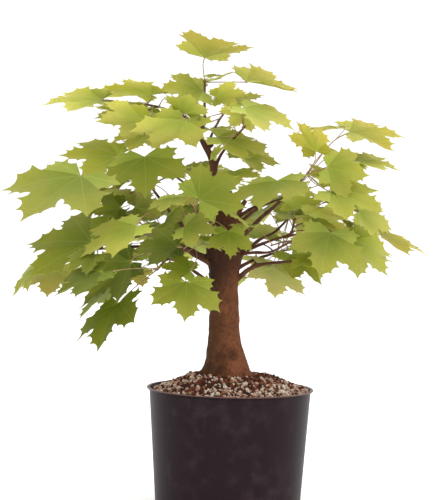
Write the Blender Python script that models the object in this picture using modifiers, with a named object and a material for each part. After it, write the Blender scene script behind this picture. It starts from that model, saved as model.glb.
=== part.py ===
"""Young Norway maple trained as a bonsai, in its round plastic nursery pot.

Metres, +Z up. The origin is the middle of the pot's flat underside, and the
plant's front faces -Y. Plant sizes are written in millimetres and turned into
metres where a shape is made.
"""

import itertools
import math
import random

import bmesh
import bpy
from mathutils import Vector
from mathutils.bvhtree import BVHTree

MM = 0.001
SEAT_GAP = 0.3 * MM
UP = Vector((0.0, 0.0, 1.0))

# Pot: a tapered shell, open at the top, with a flared lip and slots at its foot.
POT_HEIGHT = 0.170
RIM_RADIUS = 0.115
LIP_DEPTH = 0.0042
LIP_EDGE = 0.0012
NECK_RADIUS = 0.1113
FOOT_RADIUS = 0.0992
FOOT_ROUNDING = 0.0025
WALL = 0.0020
FLOOR = 0.0025
POT_STEPS = 48
DRAIN_SLOTS = 6
DRAIN_TURN = math.radians(6.0)
DRAIN_WIDTH = 0.008
DRAIN_HEIGHT = 0.024
DRAIN_DEPTH = 0.012

# Soil: fills the pot and mounds up to a flat seat under the trunk.
SEAT_HEIGHT = 0.185
SEAT_RADIUS = 0.052
SEAT_CENTRE_X = -0.009
SOIL_EDGE = 0.1625
MOUND_SHOULDERS = ((0.064, 0.0035), (0.080, 0.0105), (0.096, 0.0180))
SOIL_TILT = 0.0035
SOIL_LUMPS = ((5, 0.0008), (9, 0.0006))
SOIL_STEPS = 40

# Trunk: height, sideways shift, forward shift and radius of each section, mm.
TRUNK_SECTIONS = (
    (185, -7, -4, 38.5),
    (191, -6.5, -3, 34.8),
    (202, -5, -2, 30.4),
    (218, -7.5, -1, 25.9),
    (240, -10, 0, 22.8),
    (270, -10, 0, 20.4),
    (300, -11, 0, 19.8),
    (325, -11.5, 0, 20.6),
    (346, -11.5, 0, 24.0),
    (363, -11, 0, 27.2),
    (378, -9, 0, 23.5),
    (394, -7, 0, 18.8),
    (414, -6.5, 0, 17.4),
    (422, -6, 0, 15.0),
    (425, -6, 0, 9.0),
)
TRUNK_SIDES = 20
ROOT_LOBES = 5
ROOT_LOBE_DEPTH = 0.13
ROOT_LOBE_TURN = math.radians(-20.0)
FLARE_FADE = 0.018

# Limbs: route from inside their carrier to the tip, mm, then base and tip radius, mm.
LIMBS = {
    "leader": ("trunk", ((-14, 3, 408), (-26, 5, 454), (-33, 3, 487), (-49, 0, 517), (-44, 0, 536),
                         (-44, 0, 560)), 8.4, 1.9),
    "bough_right_low": ("trunk", ((-1, 0, 313), (10, -8, 323), (27, -15, 337), (51, -28, 343),
                                  (88, -48, 347)), 3.4, 1.8),
    "bough_right_mid": ("trunk", ((-4, -4, 343), (13, -14, 354), (28, -24, 357), (49, -40, 358),
                                  (66, -58, 367)), 2.6, 1.6),
    "bough_right_hub": ("trunk", ((-2, -2, 350), (23, -10, 362),
                                  (46, -15, 372), (70, -20, 380)), 3.0, 1.8),
    "bough_right_back": ("trunk", ((-2, 6, 349), (20, 14, 362), (38, 26, 376), (59, 40, 387),
                                   (74, 52, 402)), 2.8, 1.7),
    "bough_right_high": ("trunk", ((-5, 0, 368), (17, -7, 384), (37, -16, 405), (54, -26, 420),
                                   (86, -46, 452)), 3.5, 1.9),
    "bough_front_right": ("trunk", ((-4, -2, 396), (10, -22, 408),
                                    (30, -56, 420), (46, -84, 428)), 3.0, 1.8),
    "bough_front": ("trunk", ((-13, 0, 372), (-18, -26, 384),
                              (-30, -62, 394), (-42, -104, 402)), 3.4, 1.9),
    "bough_left_low": ("trunk", ((-18, 0, 305), (-33, -9, 315),
                                 (-55, -24, 331), (-80, -45, 344)), 3.3, 1.8),
    "bough_left_mid": ("trunk", ((-18, -4, 333), (-36, -14, 343),
                                 (-54, -27, 352), (-68, -44, 362)), 3.8, 2.1),
    "bough_left_long": ("trunk", ((-18, 2, 342), (-44, -2, 352), (-84, -8, 362), (-124, -20, 362),
                                  (-150, -32, 360)), 3.6, 1.9),
    "bough_left_high": ("trunk", ((-18, 0, 360), (-40, -10, 371), (-67, -30, 389), (-89, -46, 412),
                                  (-108, -58, 436)), 3.8, 2.0),
    "bough_back_left": ("trunk", ((-14, 2, 330), (-32, 24, 344),
                                  (-60, 56, 360), (-88, 84, 372)), 3.6, 1.9),
    "bough_back_right": ("trunk", ((-8, 2, 322), (10, 24, 336),
                                   (34, 58, 348), (58, 88, 356)), 3.5, 1.9),
    "bough_back": ("trunk", ((-10, 2, 366), (-14, 28, 380), (-18, 66, 402), (-12, 104, 420)), 3.5, 1.9),
    "bough_back_high": ("trunk", ((-8, 2, 396), (-22, 18, 412),
                                  (-52, 48, 440), (-80, 74, 462)), 3.1, 1.8),
    "bough_back_top": ("trunk", ((-4, 2, 386), (10, 18, 400),
                                 (40, 48, 424), (74, 78, 438)), 3.1, 1.8),
    "limb_top_left": ("leader", ((-50, 0, 514), (-62, -6, 536),
                                 (-80, -10, 546), (-96, -13, 551)), 2.4, 1.6),
    "limb_top_right": ("leader", ((-29, 3, 472), (-19, -12, 492), (-6, -26, 508)), 2.6, 1.6),
    "limb_top_back": ("leader", ((-40, 2, 500), (-34, 22, 520), (-26, 48, 540)), 2.4, 1.6),
}
LIMB_STEP = 14 * MM
LIMB_SIDES = 6
STALK_SIDES = 3

# Leaves: one blade is drawn in units of its lobe-to-lobe width / BLADE_SPAN, with the
# stalk's joint at the origin, U along the midrib and V out to one side.
BLADE_SPAN = 1.40
HALF_BLADE = (
    (1.00, 0.00),
    (0.80, 0.24),
    (0.52, 0.23),
    (0.71, 0.45),
    (0.62, 0.72),
    (0.34, 0.70),
    (0.17, 0.48),
    (-0.09, 0.56),
)
BLADE_HUB = 0.2
BLADE_SAG = 0.07
BLADE_FOLD = 0.05
BLADE_THICKNESS = 1.3 * MM
STALK_RADIUS = 1.05 * MM
STALK_RUN_IN = 5 * MM
STALK_PIECES = 3
STALK_EASE = 0.30
STALK_DIP = 0.06
TWIG_RADIUS = 1.7 * MM
TWIG_TAPER = 0.8
TWIG_STEP = 8 * MM
TWIG_LEAD = 2 * MM
TOUCH_MARGIN = 0.7 * MM
ROOT_SUNK = 2.4 * MM
FORK_SUNK = 7 * MM

# A lead leaf that would touch slides to and fro, and its stalk may bow another way.
SLIDES = (0, 8, -8, 16, -16, 24, -24, 34, -34, 46, -46)
BOWS = ((0, 0), (0, 18), (0, -18), (18, 0), (-18, 0), (0, 34), (26, 20), (-26, 20))

# Foliage masses: the carrying limb, the stem's run from the limb's tip (heading, rise,
# length: degrees, degrees, mm), the lead leaves, and the number of leaves the rule adds.
# A lead leaf is its stalk joint x, y, z in mm, heading, droop and bank in degrees, and
# its width from lobe to lobe in mm.
MASSES = {
    "foliage_apex": ("leader", (95, 82, 30), (
        (-44, -10, 628, 53, -41, 24, 97),
        (9, 0, 612, 5, 13, 23, 113),
        (-48, 0, 584, -164, -8, -27, 93),
        (-42, 12, 596, 60, -22, -10, 67),
        (-27, -20, 568, -4, -11, -20, 78),
    ), 3),
    "foliage_top_left": ("limb_top_left", (172, 10, 26), (
        (-179, -20, 564, -177, 1, 5, 121),
        (-117, 0, 572, -160, -7, 3, 119),
        (-139, -10, 546, -143, -5, 9, 89),
        (-123, -60, 530, 169, -2, 24, 94),
        (-68, -100, 526, 133, 25, 6, 100),
        (-137, 0, 515, -111, 35, -8, 86),
        (-63, -87, 536, -74, -36, -20, 56),
    ), 0),
    "foliage_top_right": ("limb_top_right", (-35, 40, 24), (
        (10, -63, 549, -11, 18, 20, 104),
        (2, -51, 549, 122, 22, 29, 54),
        (-14, -36, 516, -1, 17, 34, 103),
        (-1, 40, 509, -1, 16, -17, 97),
        (-29, -34, 480, 9, -68, 11, 34),
    ), 0),
    "foliage_top_back": ("limb_top_back", (75, 25, 40), (), 7),
    "foliage_right_high": ("bough_right_high", (-25, 50, 14), (
        (125, -90, 439, -22, 19, 25, 103),
        (137, -60, 470, 70, -24, 45, 71),
        (151, -10, 490, -4, 6, 15, 99),
        (156, 0, 527, 12, -6, 20, 118),
        (101, -77, 492, -148, -53, 1, 72),
        (167, -50, 415, 15, 24, 52, 76),
        (115, 10, 533, -163, 4, -8, 67),
        (128, -35, 463, -147, -7, -39, 50),
    ), 0),
    "foliage_right_hub": ("bough_right_hub", (-10, 80, 26), (
        (83, -20, 417, -46, -50, -11, 60),
        (78, 1, 412, 54, 18, 4, 70),
        (96, -30, 409, 5, 17, -17, 103),
    ), 0),
    "foliage_right_mid": ("bough_right_mid", (-50, 20, 24), (
        (122, -120, 384, -113, 53, -22, 93),
        (149, -93, 377, -1, 43, -24, 96),
    ), 0),
    "foliage_right_low": ("bough_right_low", (-20, 10, 30), (
        (184, 13, 396, -1, 17, 9, 126),
    ), 3),
    "foliage_right_back": ("bough_right_back", (40, 25, 40), (
        (40, 93, 380, -116, -33, -6, 82),
        (58, 32, 337, 81, 42, 22, 88),
        (81, 42, 356, -33, 31, 13, 95),
        (52, 109, 338, -124, -22, -4, 69),
    ), 4),
    "foliage_front_right": ("bough_front_right", (-70, 20, 16), (
        (57, -100, 447, -117, 34, 5, 96),
    ), 0),
    "foliage_front": ("bough_front", (-110, 10, 24), (
        (-46, -185, 420, 18, -36, 56, 84),
        (-64, -150, 387, -23, 6, 42, 65),
        (-9, -139, 383, -71, 68, 2, 54),
        (-91, -100, 394, -74, 9, 54, 59),
    ), 0),
    "foliage_left_mid": ("bough_left_mid", (-130, 5, 26), (
        (-123, -170, 386, -166, 25, -17, 110),
        (-57, -110, 321, -86, 56, -4, 87),
        (-72, -141, 362, -170, -1, 34, 82),
        (-55, -125, 331, 179, -14, -30, 60),
    ), 0),
    "foliage_left_long": ("bough_left_long", (-160, -5, 34), (
        (-185, -90, 364, 162, -2, -43, 130),
        (-173, -179, 350, -161, 26, -24, 57),
        (-249, -57, 339, -180, 46, -16, 88),
        (-236, -7, 328, -97, 37, 2, 82),
    ), 0),
    "foliage_left_low": ("bough_left_low", (-125, -40, 34), (
        (-131, -125, 341, -170, 36, 41, 96),
        (-159, -207, 331, -168, 16, -12, 93),
        (-144, -125, 287, -118, 44, 18, 106),
        (-148, -87, 314, 165, 42, 0, 90),
        (-120, -3, 345, -122, -19, 4, 73),
        (-117, 20, 337, -116, 19, -17, 84),
    ), 0),
    "foliage_left_high": ("bough_left_high", (-145, 35, 18), (
        (-195, -120, 449, -139, 31, -17, 148),
        (-162, -44, 482, -174, -1, -28, 115),
        (-117, -90, 470, -80, 36, 27, 88),
        (-154, -36, 414, -171, 9, 38, 64),
        (-136, -23, 416, -3, -16, -31, 66),
        (-144, 6, 426, -110, -24, -3, 72),
        (-74, -32, 414, -60, -24, -13, 68),
    ), 0),
    "foliage_back_left": ("bough_back_left", (135, 10, 60), (), 7),
    "foliage_back_right": ("bough_back_right", (55, 8, 60), (), 7),
    "foliage_back": ("bough_back", (85, 15, 60), (), 6),
    "foliage_back_high": ("bough_back_high", (135, 25, 50), (), 6),
    "foliage_back_top": ("bough_back_top", (40, 20, 50), (), 6),
}
RULE_SEED = 41
RULE_TRIES = 120
RULE_WIDTH = (80, 112)
RULE_STALK = (46, 108)
RULE_SPREAD = math.radians(82)
RULE_RISE = (-28, 52)
RULE_DROOP = (2, 30)
RULE_BANK = (-14, 14)
RULE_TWIST = 0.5

# Outline of the crown seen from the front: height, left reach and right reach, mm.
CROWN = (
    (285, -200, 60),
    (305, -255, 120),
    (345, -265, 215),
    (375, -262, 240),
    (410, -250, 225),
    (455, -250, 220),
    (500, -225, 215),
    (540, -200, 130),
    (567, -170, 80),
    (590, -100, 60),
    (625, -70, 10),
)
CROWN_DEPTH = 265 * MM

# Gaps where light shows through the crown to an eye in front of it: left, right, low
# and high side, in mm, on the upright plane through the trunk. Rule leaves keep out.
EYE = Vector((-0.023, -1.6, 0.35))
LIGHT_GAPS = (
    (44, 89, 498, 524),
    (67, 95, 459, 498),
    (-16, 6, 477, 499),
    (-99, -49, 481, 507),
    (-99, -72, 437, 459),
    (-143, -121, 496, 510),
    (117, 142, 505, 521),
    (40, 71, 357, 369),
    (-143, -115, 304, 338),
)


def clear_scene():
    for old in list(bpy.data.objects):
        bpy.data.objects.remove(old, do_unlink=True)


def new_collection(name):
    collection = bpy.data.collections.new(name)
    bpy.context.scene.collection.children.link(collection)
    return collection


def material(name, colour, roughness, metallic=0.0):
    made = bpy.data.materials.new(name)
    made.use_nodes = True
    shader = made.node_tree.nodes["Principled BSDF"]
    shader.inputs["Base Color"].default_value = (*colour, 1.0)
    shader.inputs["Roughness"].default_value = roughness
    shader.inputs["Metallic"].default_value = metallic
    return made


def add_object(name, data, collection, finish=None):
    made = bpy.data.objects.new(name, data)
    collection.objects.link(made)
    if finish is not None:
        data.materials.append(finish)
    return made


def baked(source, name=None):
    """Turn an object with its modifiers into a plain mesh object of the same name."""
    bpy.context.view_layer.update()
    evaluated = source.evaluated_get(bpy.context.evaluated_depsgraph_get())
    mesh = bpy.data.meshes.new_from_object(evaluated)
    final_name = name or source.name
    collection = source.users_collection[0]
    place = source.matrix_world.copy()
    bpy.data.objects.remove(source, do_unlink=True)
    mesh.name = final_name
    made = bpy.data.objects.new(final_name, mesh)
    made.matrix_world = place
    collection.objects.link(made)
    return made


def weld(mesh, distance=0.00001):
    shell = bmesh.new()
    shell.from_mesh(mesh)
    bmesh.ops.remove_doubles(shell, verts=shell.verts, dist=distance)
    bmesh.ops.recalc_face_normals(shell, faces=shell.faces)
    shell.to_mesh(mesh)
    shell.free()


def hide_cutter(cutter):
    cutter.hide_render = True
    cutter.display_type = "WIRE"


def turned(name, profile, steps, collection, finish):
    """Spin a profile in the XZ plane once round the Z axis."""
    mesh = bpy.data.meshes.new(name)
    edges = [(i, i + 1) for i in range(len(profile) - 1)]
    mesh.from_pydata([(r, 0.0, z) for r, z in profile], edges, [])
    made = add_object(name, mesh, collection, finish)
    screw = made.modifiers.new("turn", "SCREW")
    screw.axis = "Z"
    screw.steps = steps
    screw.render_steps = steps
    screw.use_merge_vertices = True
    screw.merge_threshold = 0.00001
    return made


def pot_outer_radius(height):
    return FOOT_RADIUS + (NECK_RADIUS - FOOT_RADIUS) * height / (POT_HEIGHT - LIP_DEPTH)


def pot_inner_radius(height):
    return pot_outer_radius(height) - WALL


def build_pot(collection, cutters, finish):
    neck = POT_HEIGHT - LIP_DEPTH
    profile = (
        (0.0, FLOOR),
        (pot_inner_radius(FLOOR), FLOOR),
        (pot_inner_radius(neck), neck),
        (RIM_RADIUS - 2.0 * WALL, POT_HEIGHT),
        (RIM_RADIUS - LIP_EDGE, POT_HEIGHT),
        (RIM_RADIUS, POT_HEIGHT - LIP_EDGE),
        (RIM_RADIUS, POT_HEIGHT - 2.0 * LIP_EDGE),
        (NECK_RADIUS, neck),
        (pot_outer_radius(FOOT_ROUNDING), FOOT_ROUNDING),
        (FOOT_RADIUS - FOOT_ROUNDING, 0.0),
        (0.0, 0.0),
    )
    pot = turned("pot", profile, POT_STEPS, collection, finish)
    below = 0.002
    for slot in range(DRAIN_SLOTS):
        angle = math.pi + DRAIN_TURN + slot * 2.0 * math.pi / DRAIN_SLOTS
        outward = Vector((math.cos(angle), math.sin(angle), 0.0))
        bpy.ops.mesh.primitive_cube_add(size=1.0)
        cutter = bpy.context.object
        cutter.name = f"drain_cutter_{slot + 1}"
        cutter.scale = (2.0 * DRAIN_DEPTH, DRAIN_WIDTH, DRAIN_HEIGHT + below)
        cutter.rotation_euler = (0.0, 0.0, angle)
        cutter.location = outward * FOOT_RADIUS
        cutter.location.z = (DRAIN_HEIGHT - below) / 2.0
        for home in list(cutter.users_collection):
            home.objects.unlink(cutter)
        cutters.objects.link(cutter)
        hide_cutter(cutter)
        cut = pot.modifiers.new(cutter.name, "BOOLEAN")
        cut.operation = "DIFFERENCE"
        cut.object = cutter
    return pot


def build_soil(collection, finish):
    floor = FLOOR + SEAT_GAP
    seat = SEAT_HEIGHT - SEAT_GAP
    profile = (
        (0.0, seat),
        (SEAT_RADIUS, seat),
        *((radius, seat - drop) for radius, drop in MOUND_SHOULDERS),
        (pot_inner_radius(SOIL_EDGE) - SEAT_GAP, SOIL_EDGE),
        (pot_inner_radius(floor) - SEAT_GAP, floor),
        (0.0, floor),
    )
    soil = baked(turned("soil", profile, SOIL_STEPS, collection, finish))
    for vertex in soil.data.vertices:
        place = vertex.co
        radius = math.hypot(place.x, place.y)
        if radius < SEAT_RADIUS + MM or place.z < SOIL_EDGE - MM:
            continue
        share = (radius - SEAT_RADIUS) / (NECK_RADIUS - SEAT_RADIUS)
        angle = math.atan2(place.y, place.x)
        lumps = sum(height * math.sin(waves * angle + waves) for waves, height in SOIL_LUMPS)
        place.z += SOIL_TILT * share * math.cos(angle) + lumps * (1.0 - share)
        edge = pot_inner_radius(place.z) - SEAT_GAP
        if radius > MOUND_SHOULDERS[-1][0] + MM:
            place.x *= edge / radius
            place.y *= edge / radius
    for vertex in soil.data.vertices:
        if vertex.co.z > seat - 0.5 * MM:
            vertex.co.x += SEAT_CENTRE_X
    weld(soil.data)
    return soil


def trunk_radius(section, angle, grow):
    height, _, _, radius = section
    fade = math.exp(-(height * MM - SEAT_HEIGHT) / FLARE_FADE)
    lobes = 1.0 + ROOT_LOBE_DEPTH * fade * math.cos(ROOT_LOBES * (angle - ROOT_LOBE_TURN))
    return radius * MM * lobes + grow


def build_trunk(name, grow, collection, finish=None):
    """Loft the trunk through its sections, from the flat cut at the soil to the chop."""
    shell = bmesh.new()
    rings = []
    for section in TRUNK_SECTIONS:
        ring = []
        for side in range(TRUNK_SIDES):
            angle = 2.0 * math.pi * side / TRUNK_SIDES
            radius = trunk_radius(section, angle, grow)
            x = section[1] * MM + radius * math.cos(angle)
            y = section[2] * MM + radius * math.sin(angle)
            ring.append(shell.verts.new((x, y, section[0] * MM)))
        rings.append(ring)
    for low, high in zip(rings, rings[1:]):
        for side in range(TRUNK_SIDES):
            after = (side + 1) % TRUNK_SIDES
            shell.faces.new((low[side], low[after], high[after], high[side]))
    shell.faces.new(list(reversed(rings[0])))
    shell.faces.new(rings[-1])
    mesh = bpy.data.meshes.new(name)
    shell.to_mesh(mesh)
    shell.free()
    mesh.shade_smooth()
    return add_object(name, mesh, collection, finish)


def smooth_route(corners, step):
    """Points along a smooth curve through the corners, about one step apart."""
    ends = [corners[0] * 2.0 - corners[1], *corners, corners[-1] * 2.0 - corners[-2]]
    route = []
    for before, start, end, after in zip(ends, ends[1:], ends[2:], ends[3:]):
        pieces = max(1, round((end - start).length / step))
        for piece in range(pieces):
            t = piece / pieces
            route.append(0.5 * (2.0 * start + (end - before) * t
                                + (2.0 * before - 5.0 * start + 4.0 * end - after) * t * t
                                + (3.0 * start - before - 3.0 * end + after) * t ** 3))
    return route + [corners[-1]]


def section_of(name, sides, collection):
    """A closed outline of unit radius, for tubes with few sides."""
    curve = bpy.data.curves.new(name, "CURVE")
    spline = curve.splines.new("POLY")
    spline.points.add(sides - 1)
    spline.use_cyclic_u = True
    for side, point in enumerate(spline.points):
        angle = 2.0 * math.pi * side / sides
        point.co = (math.cos(angle), math.sin(angle), 0.0, 1.0)
    section = add_object(name, curve, collection)
    hide_cutter(section)
    return section


def tube(name, route, radii, section, collection, finish=None):
    """A capped tube along the route, made a mesh with its caps welded on."""
    curve = bpy.data.curves.new(name, "CURVE")
    curve.dimensions = "3D"
    curve.bevel_mode = "OBJECT"
    curve.bevel_object = section
    curve.use_fill_caps = True
    spline = curve.splines.new("POLY")
    spline.points.add(len(route) - 1)
    for point, place, radius in zip(spline.points, route, radii):
        point.co = (*place, 1.0)
        point.radius = radius
    made = baked(add_object(name, curve, collection, finish))
    weld(made.data)
    made.data.shade_smooth()
    return made


def limb_route(name):
    corners = [Vector(corner) * MM for corner in LIMBS[name][1]]
    return smooth_route(corners, LIMB_STEP)


def limb_radii(name, count):
    base, tip = LIMBS[name][2:]
    return [(base + (tip - base) * i / (count - 1)) * MM for i in range(count)]


def build_limb(name, grow, section, collection, finish=None, suffix=""):
    route = limb_route(name)
    radii = [radius + grow for radius in limb_radii(name, len(route))]
    return tube(name + suffix, route, radii, section, collection, finish)


def seat_limb(limb, cutter):
    """Cut the limb's buried end back so that it starts just clear of its carrier."""
    cut = limb.modifiers.new("seat", "BOOLEAN")
    cut.operation = "DIFFERENCE"
    cut.object = cutter
    return baked(limb)


def tree_of(mesh):
    corners = [vertex.co.copy() for vertex in mesh.vertices]
    faces = [tuple(face.vertices) for face in mesh.polygons]
    return BVHTree.FromPolygons(corners, faces)


def direction(heading, rise):
    return Vector((math.cos(rise) * math.cos(heading), math.cos(rise) * math.sin(heading), math.sin(rise)))


def blade_axes(heading, droop, bank):
    forward = direction(heading, -droop)
    left = UP.cross(forward).normalized()
    upward = forward.cross(left)
    side = left * math.cos(bank) + upward * math.sin(bank)
    return forward, side, forward.cross(side)


def blade_outline():
    right = [(u, -v) for u, v in reversed(HALF_BLADE[1:])]
    return right + list(HALF_BLADE)


def blade_height(u, v):
    return BLADE_FOLD * abs(v) - BLADE_SAG * (u * u + v * v)


def bezier(p0, p1, p2, p3, t):
    s = 1.0 - t
    return p0 * s ** 3 + p1 * (3.0 * s * s * t) + p2 * (3.0 * s * t * t) + p3 * t ** 3


def rod_solid(route, radius):
    """The corners and sides of a square rod along a route."""
    corners, faces = [], []
    for start, end in zip(route, route[1:]):
        run = (end - start).normalized()
        across = run.orthogonal().normalized() * radius
        other = run.cross(across)
        first = len(corners)
        for place in (start, end):
            corners += [place + across, place + other, place - across, place - other]
        for turn in range(4):
            after = (turn + 1) % 4
            faces.append((first + turn, first + after, first + 4 + after, first + 4 + turn))
    return corners, faces


class Leaf:
    """One leaf: where its stalk leaves the stem, and how its blade lies."""

    def __init__(self, root, root_heading, joint, heading, droop, bank, width, bow=(0, 0)):
        self.root = root
        self.joint = joint
        self.width = width
        self.axes = blade_axes(heading, droop, bank)
        forward, side, _ = self.axes
        reach = (joint - root).length
        lift = UP * (bow[1] * MM) + side * (bow[0] * MM)
        self.stalk = (
            root,
            root + root_heading * (STALK_EASE * reach) + lift,
            joint - forward * (STALK_EASE * reach) - UP * (STALK_DIP * reach) + lift,
            joint + forward * STALK_RUN_IN,
        )

    def stalk_route(self, pieces=STALK_PIECES):
        return [bezier(*self.stalk, i / pieces) for i in range(pieces + 1)]

    def blade_point(self, u, v, offset=0.0):
        forward, side, normal = self.axes
        scale = self.width / BLADE_SPAN
        return self.joint + (forward * u + side * v + normal * blade_height(u, v)) * scale + normal * offset

    def blade_solid(self, thickness):
        """Top and underside fans of the blade and the wall round its edge."""
        outline = [(0.0, 0.0)] + blade_outline()
        count = len(outline)
        corners = []
        for offset in (thickness / 2.0, -thickness / 2.0):
            corners += [self.blade_point(u, v, offset) for u, v in outline]
            corners.append(self.blade_point(BLADE_HUB, 0.0, offset))
        below = count + 1
        faces = []
        for i in range(count):
            after = (i + 1) % count
            faces.append((count, i, after))
            faces.append((below + count, below + after, below + i))
            faces.append((i, below + i, below + after, after))
        return corners, faces

    def probe(self, sunk):
        """A fattened stand-in for the blade and the stalk, to test for touching.

        The first stretch of the stalk, which is sunk in the stem or a fork, is left out.
        """
        corners, faces = self.blade_solid(BLADE_THICKNESS + 2.0 * TOUCH_MARGIN)
        route = self.stalk_route()
        route[0] = route[0] + (route[1] - route[0]).normalized() * sunk
        more, sides = rod_solid(route, STALK_RADIUS + TOUCH_MARGIN)
        faces += [tuple(len(corners) + corner for corner in side) for side in sides]
        return BVHTree.FromPolygons(corners + more, faces)

    def corners(self):
        return [self.blade_point(u, v) for u, v in blade_outline()]


def in_crown(points):
    """True where every point keeps inside the crown's outline."""
    for point in points:
        z = point.z / MM
        if not CROWN[0][0] <= z <= CROWN[-1][0]:
            return False
        for low, high in zip(CROWN, CROWN[1:]):
            if z <= high[0]:
                share = (z - low[0]) / (high[0] - low[0])
                left = low[1] + (high[1] - low[1]) * share
                right = low[2] + (high[2] - low[2]) * share
                break
        middle = (left + right) / 2.0
        half = (right - left) / 2.0
        across = (point.x / MM - middle) / half
        if across ** 2 + (point.y / CROWN_DEPTH) ** 2 > 1.0:
            return False
    return True


def in_light_gap(point):
    """True where the point, seen by the eye, shows in one of the crown's gaps."""
    share = -EYE.y / (point.y - EYE.y)
    seen = EYE + (point - EYE) * share
    x, z = seen.x / MM, seen.z / MM
    return any(left < x < right and low < z < high for left, right, low, high in LIGHT_GAPS)


class Mass:
    """One mass of foliage: a stem on from its limb's tip, side twigs and leaves."""

    def __init__(self, name):
        carrier, (heading, rise, length), _, _ = MASSES[name]
        tip, before = limb_route(carrier)[-1], limb_route(carrier)[-2]
        out = (tip - before).normalized()
        self.name = name
        self.heading = math.radians(heading)
        aim = direction(self.heading, math.radians(rise))
        start = tip + out * SEAT_GAP
        lead = start + out * TWIG_LEAD
        bend = lead + (out * 0.25 + aim * 0.1) * length * MM
        end = lead + (out * 0.3 + aim * 0.7) * length * MM
        self.stem = [start, *smooth_route([lead, bend, end], TWIG_STEP)]
        self.nodes = self.stem[2:]
        self.stem_tree = BVHTree.FromPolygons(*rod_solid(self.stem, TWIG_RADIUS + TOUCH_MARGIN))
        self.leaves = []

    def nearest_node(self, joint):
        node = min(self.nodes, key=lambda place: (place - joint).length)
        return node, (joint - node).normalized()

    def add_if_clear(self, leaf, taken):
        """Keep the leaf unless it touches a limb, another stem or an earlier leaf."""
        within = leaf.probe(FORK_SUNK)
        beyond = leaf.probe(ROOT_SUNK)
        for owner, tree in taken:
            if tree is not self.stem_tree and (within if owner is self else beyond).overlap(tree):
                return False
        self.leaves.append(leaf)
        taken.append((self, beyond))
        return True


def place_lead_leaves(mass, taken):
    for x, y, z, heading, droop, bank, width in MASSES[mass.name][2]:
        angles = [math.radians(angle) for angle in (heading, droop, bank)]
        for slide, bow in itertools.product(SLIDES, BOWS):
            joint = Vector((x, y + slide, z)) * MM
            node, toward = mass.nearest_node(joint)
            if mass.add_if_clear(Leaf(node, toward, joint, *angles, width * MM, bow), taken):
                break


def rule_leaf(mass, side, dice):
    """A leaf off a random node of the stem, held out to one side of the mass's heading."""
    node = dice.choice(mass.nodes)
    heading = mass.heading + side * RULE_SPREAD * dice.random()
    toward = direction(heading, math.radians(dice.uniform(*RULE_RISE)))
    joint = node + toward * dice.uniform(*RULE_STALK) * MM
    droop = math.radians(dice.uniform(*RULE_DROOP))
    bank = math.radians(dice.uniform(*RULE_BANK))
    width = dice.uniform(*RULE_WIDTH) * MM
    return Leaf(node, toward, joint, heading + side * RULE_TWIST * dice.random(), droop, bank, width)


def grow_rule_leaves(mass, taken, dice):
    """Add leaves by turns to the two sides of the stem, where the crown has room."""
    for number in range(MASSES[mass.name][3]):
        for _ in range(RULE_TRIES):
            leaf = rule_leaf(mass, (-1, 1)[number % 2], dice)
            corners = leaf.corners()
            if not in_crown(corners) or any(in_light_gap(corner) for corner in corners):
                continue
            if mass.add_if_clear(leaf, taken):
                break


def plan_foliage(limbs):
    """Place every leaf: the lead leaves first, then those the rule adds."""
    masses = [Mass(name) for name in MASSES]
    taken = [(None, tree) for tree in limbs] + [(mass, mass.stem_tree) for mass in masses]
    for mass in masses:
        place_lead_leaves(mass, taken)
    for number, mass in enumerate(masses):
        grow_rule_leaves(mass, taken, random.Random(RULE_SEED + number))
    return masses


def build_mass(mass, sections, collection, finish):
    """Join a mass's stem, stalks and blades into one body."""
    count = len(mass.stem)
    radii = [TWIG_RADIUS * (1.0 + (TWIG_TAPER - 1.0) * i / (count - 1)) for i in range(count)]
    body = tube(mass.name, mass.stem, radii, sections["limb"], collection, finish)
    loose = new_collection(mass.name + "_pieces")
    for number, leaf in enumerate(mass.leaves):
        route = leaf.stalk_route()
        tube(f"{mass.name}_stalk_{number}", route, [STALK_RADIUS] * len(route), sections["stalk"], loose)
        corners, faces = leaf.blade_solid(BLADE_THICKNESS)
        mesh = bpy.data.meshes.new(f"{mass.name}_blade_{number}")
        mesh.from_pydata(corners, [], faces)
        weld(mesh)
        add_object(mesh.name, mesh, loose)
    join = body.modifiers.new("join", "BOOLEAN")
    join.operation = "UNION"
    join.operand_type = "COLLECTION"
    join.collection = loose
    join.solver = "MANIFOLD"
    body = baked(body)
    for piece in list(loose.objects):
        bpy.data.objects.remove(piece, do_unlink=True)
    bpy.data.collections.remove(loose)
    return body


def main():
    clear_scene()
    parts = new_collection("norway_maple_bonsai")
    cutters = new_collection("cutters")
    plastic = material("pot_plastic", (0.045, 0.034, 0.037), 0.48)
    earth = material("potting_soil", (0.16, 0.09, 0.06), 0.95)
    bark = material("bark", (0.20, 0.095, 0.06), 0.85)
    young_bark = material("young_bark", (0.13, 0.06, 0.045), 0.7)
    leaf_green = material("leaf_green", (0.30, 0.38, 0.08), 0.5)
    build_pot(parts, cutters, plastic)
    build_soil(parts, earth)
    trunk = build_trunk("trunk", 0.0, parts, bark)
    sections = {
        "limb": section_of("limb_section", LIMB_SIDES, cutters),
        "stalk": section_of("stalk_section", STALK_SIDES, cutters),
    }
    carriers = {
        "trunk": build_trunk("trunk_clearance", SEAT_GAP, cutters),
        "leader": build_limb("leader", SEAT_GAP, sections["limb"], cutters, suffix="_clearance"),
    }
    for cutter in carriers.values():
        hide_cutter(cutter)
    limbs = [tree_of(trunk.data)]
    for name in LIMBS:
        limb = build_limb(name, 0.0, sections["limb"], parts, young_bark)
        limbs.append(tree_of(limb.data))
        seat_limb(limb, carriers[LIMBS[name][0]])
    for mass in plan_foliage(limbs):
        build_mass(mass, sections, parts, leaf_green)


if __name__ == "__main__":
    main()
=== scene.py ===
"""Looks of a young Norway maple bonsai in its round plastic nursery pot.

Laid out as an add-on: each Make button builds one piece, or one group of like
pieces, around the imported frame. Metres, +Z up; plant sizes are in millimetres.
"""

import itertools
import math
import random

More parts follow.
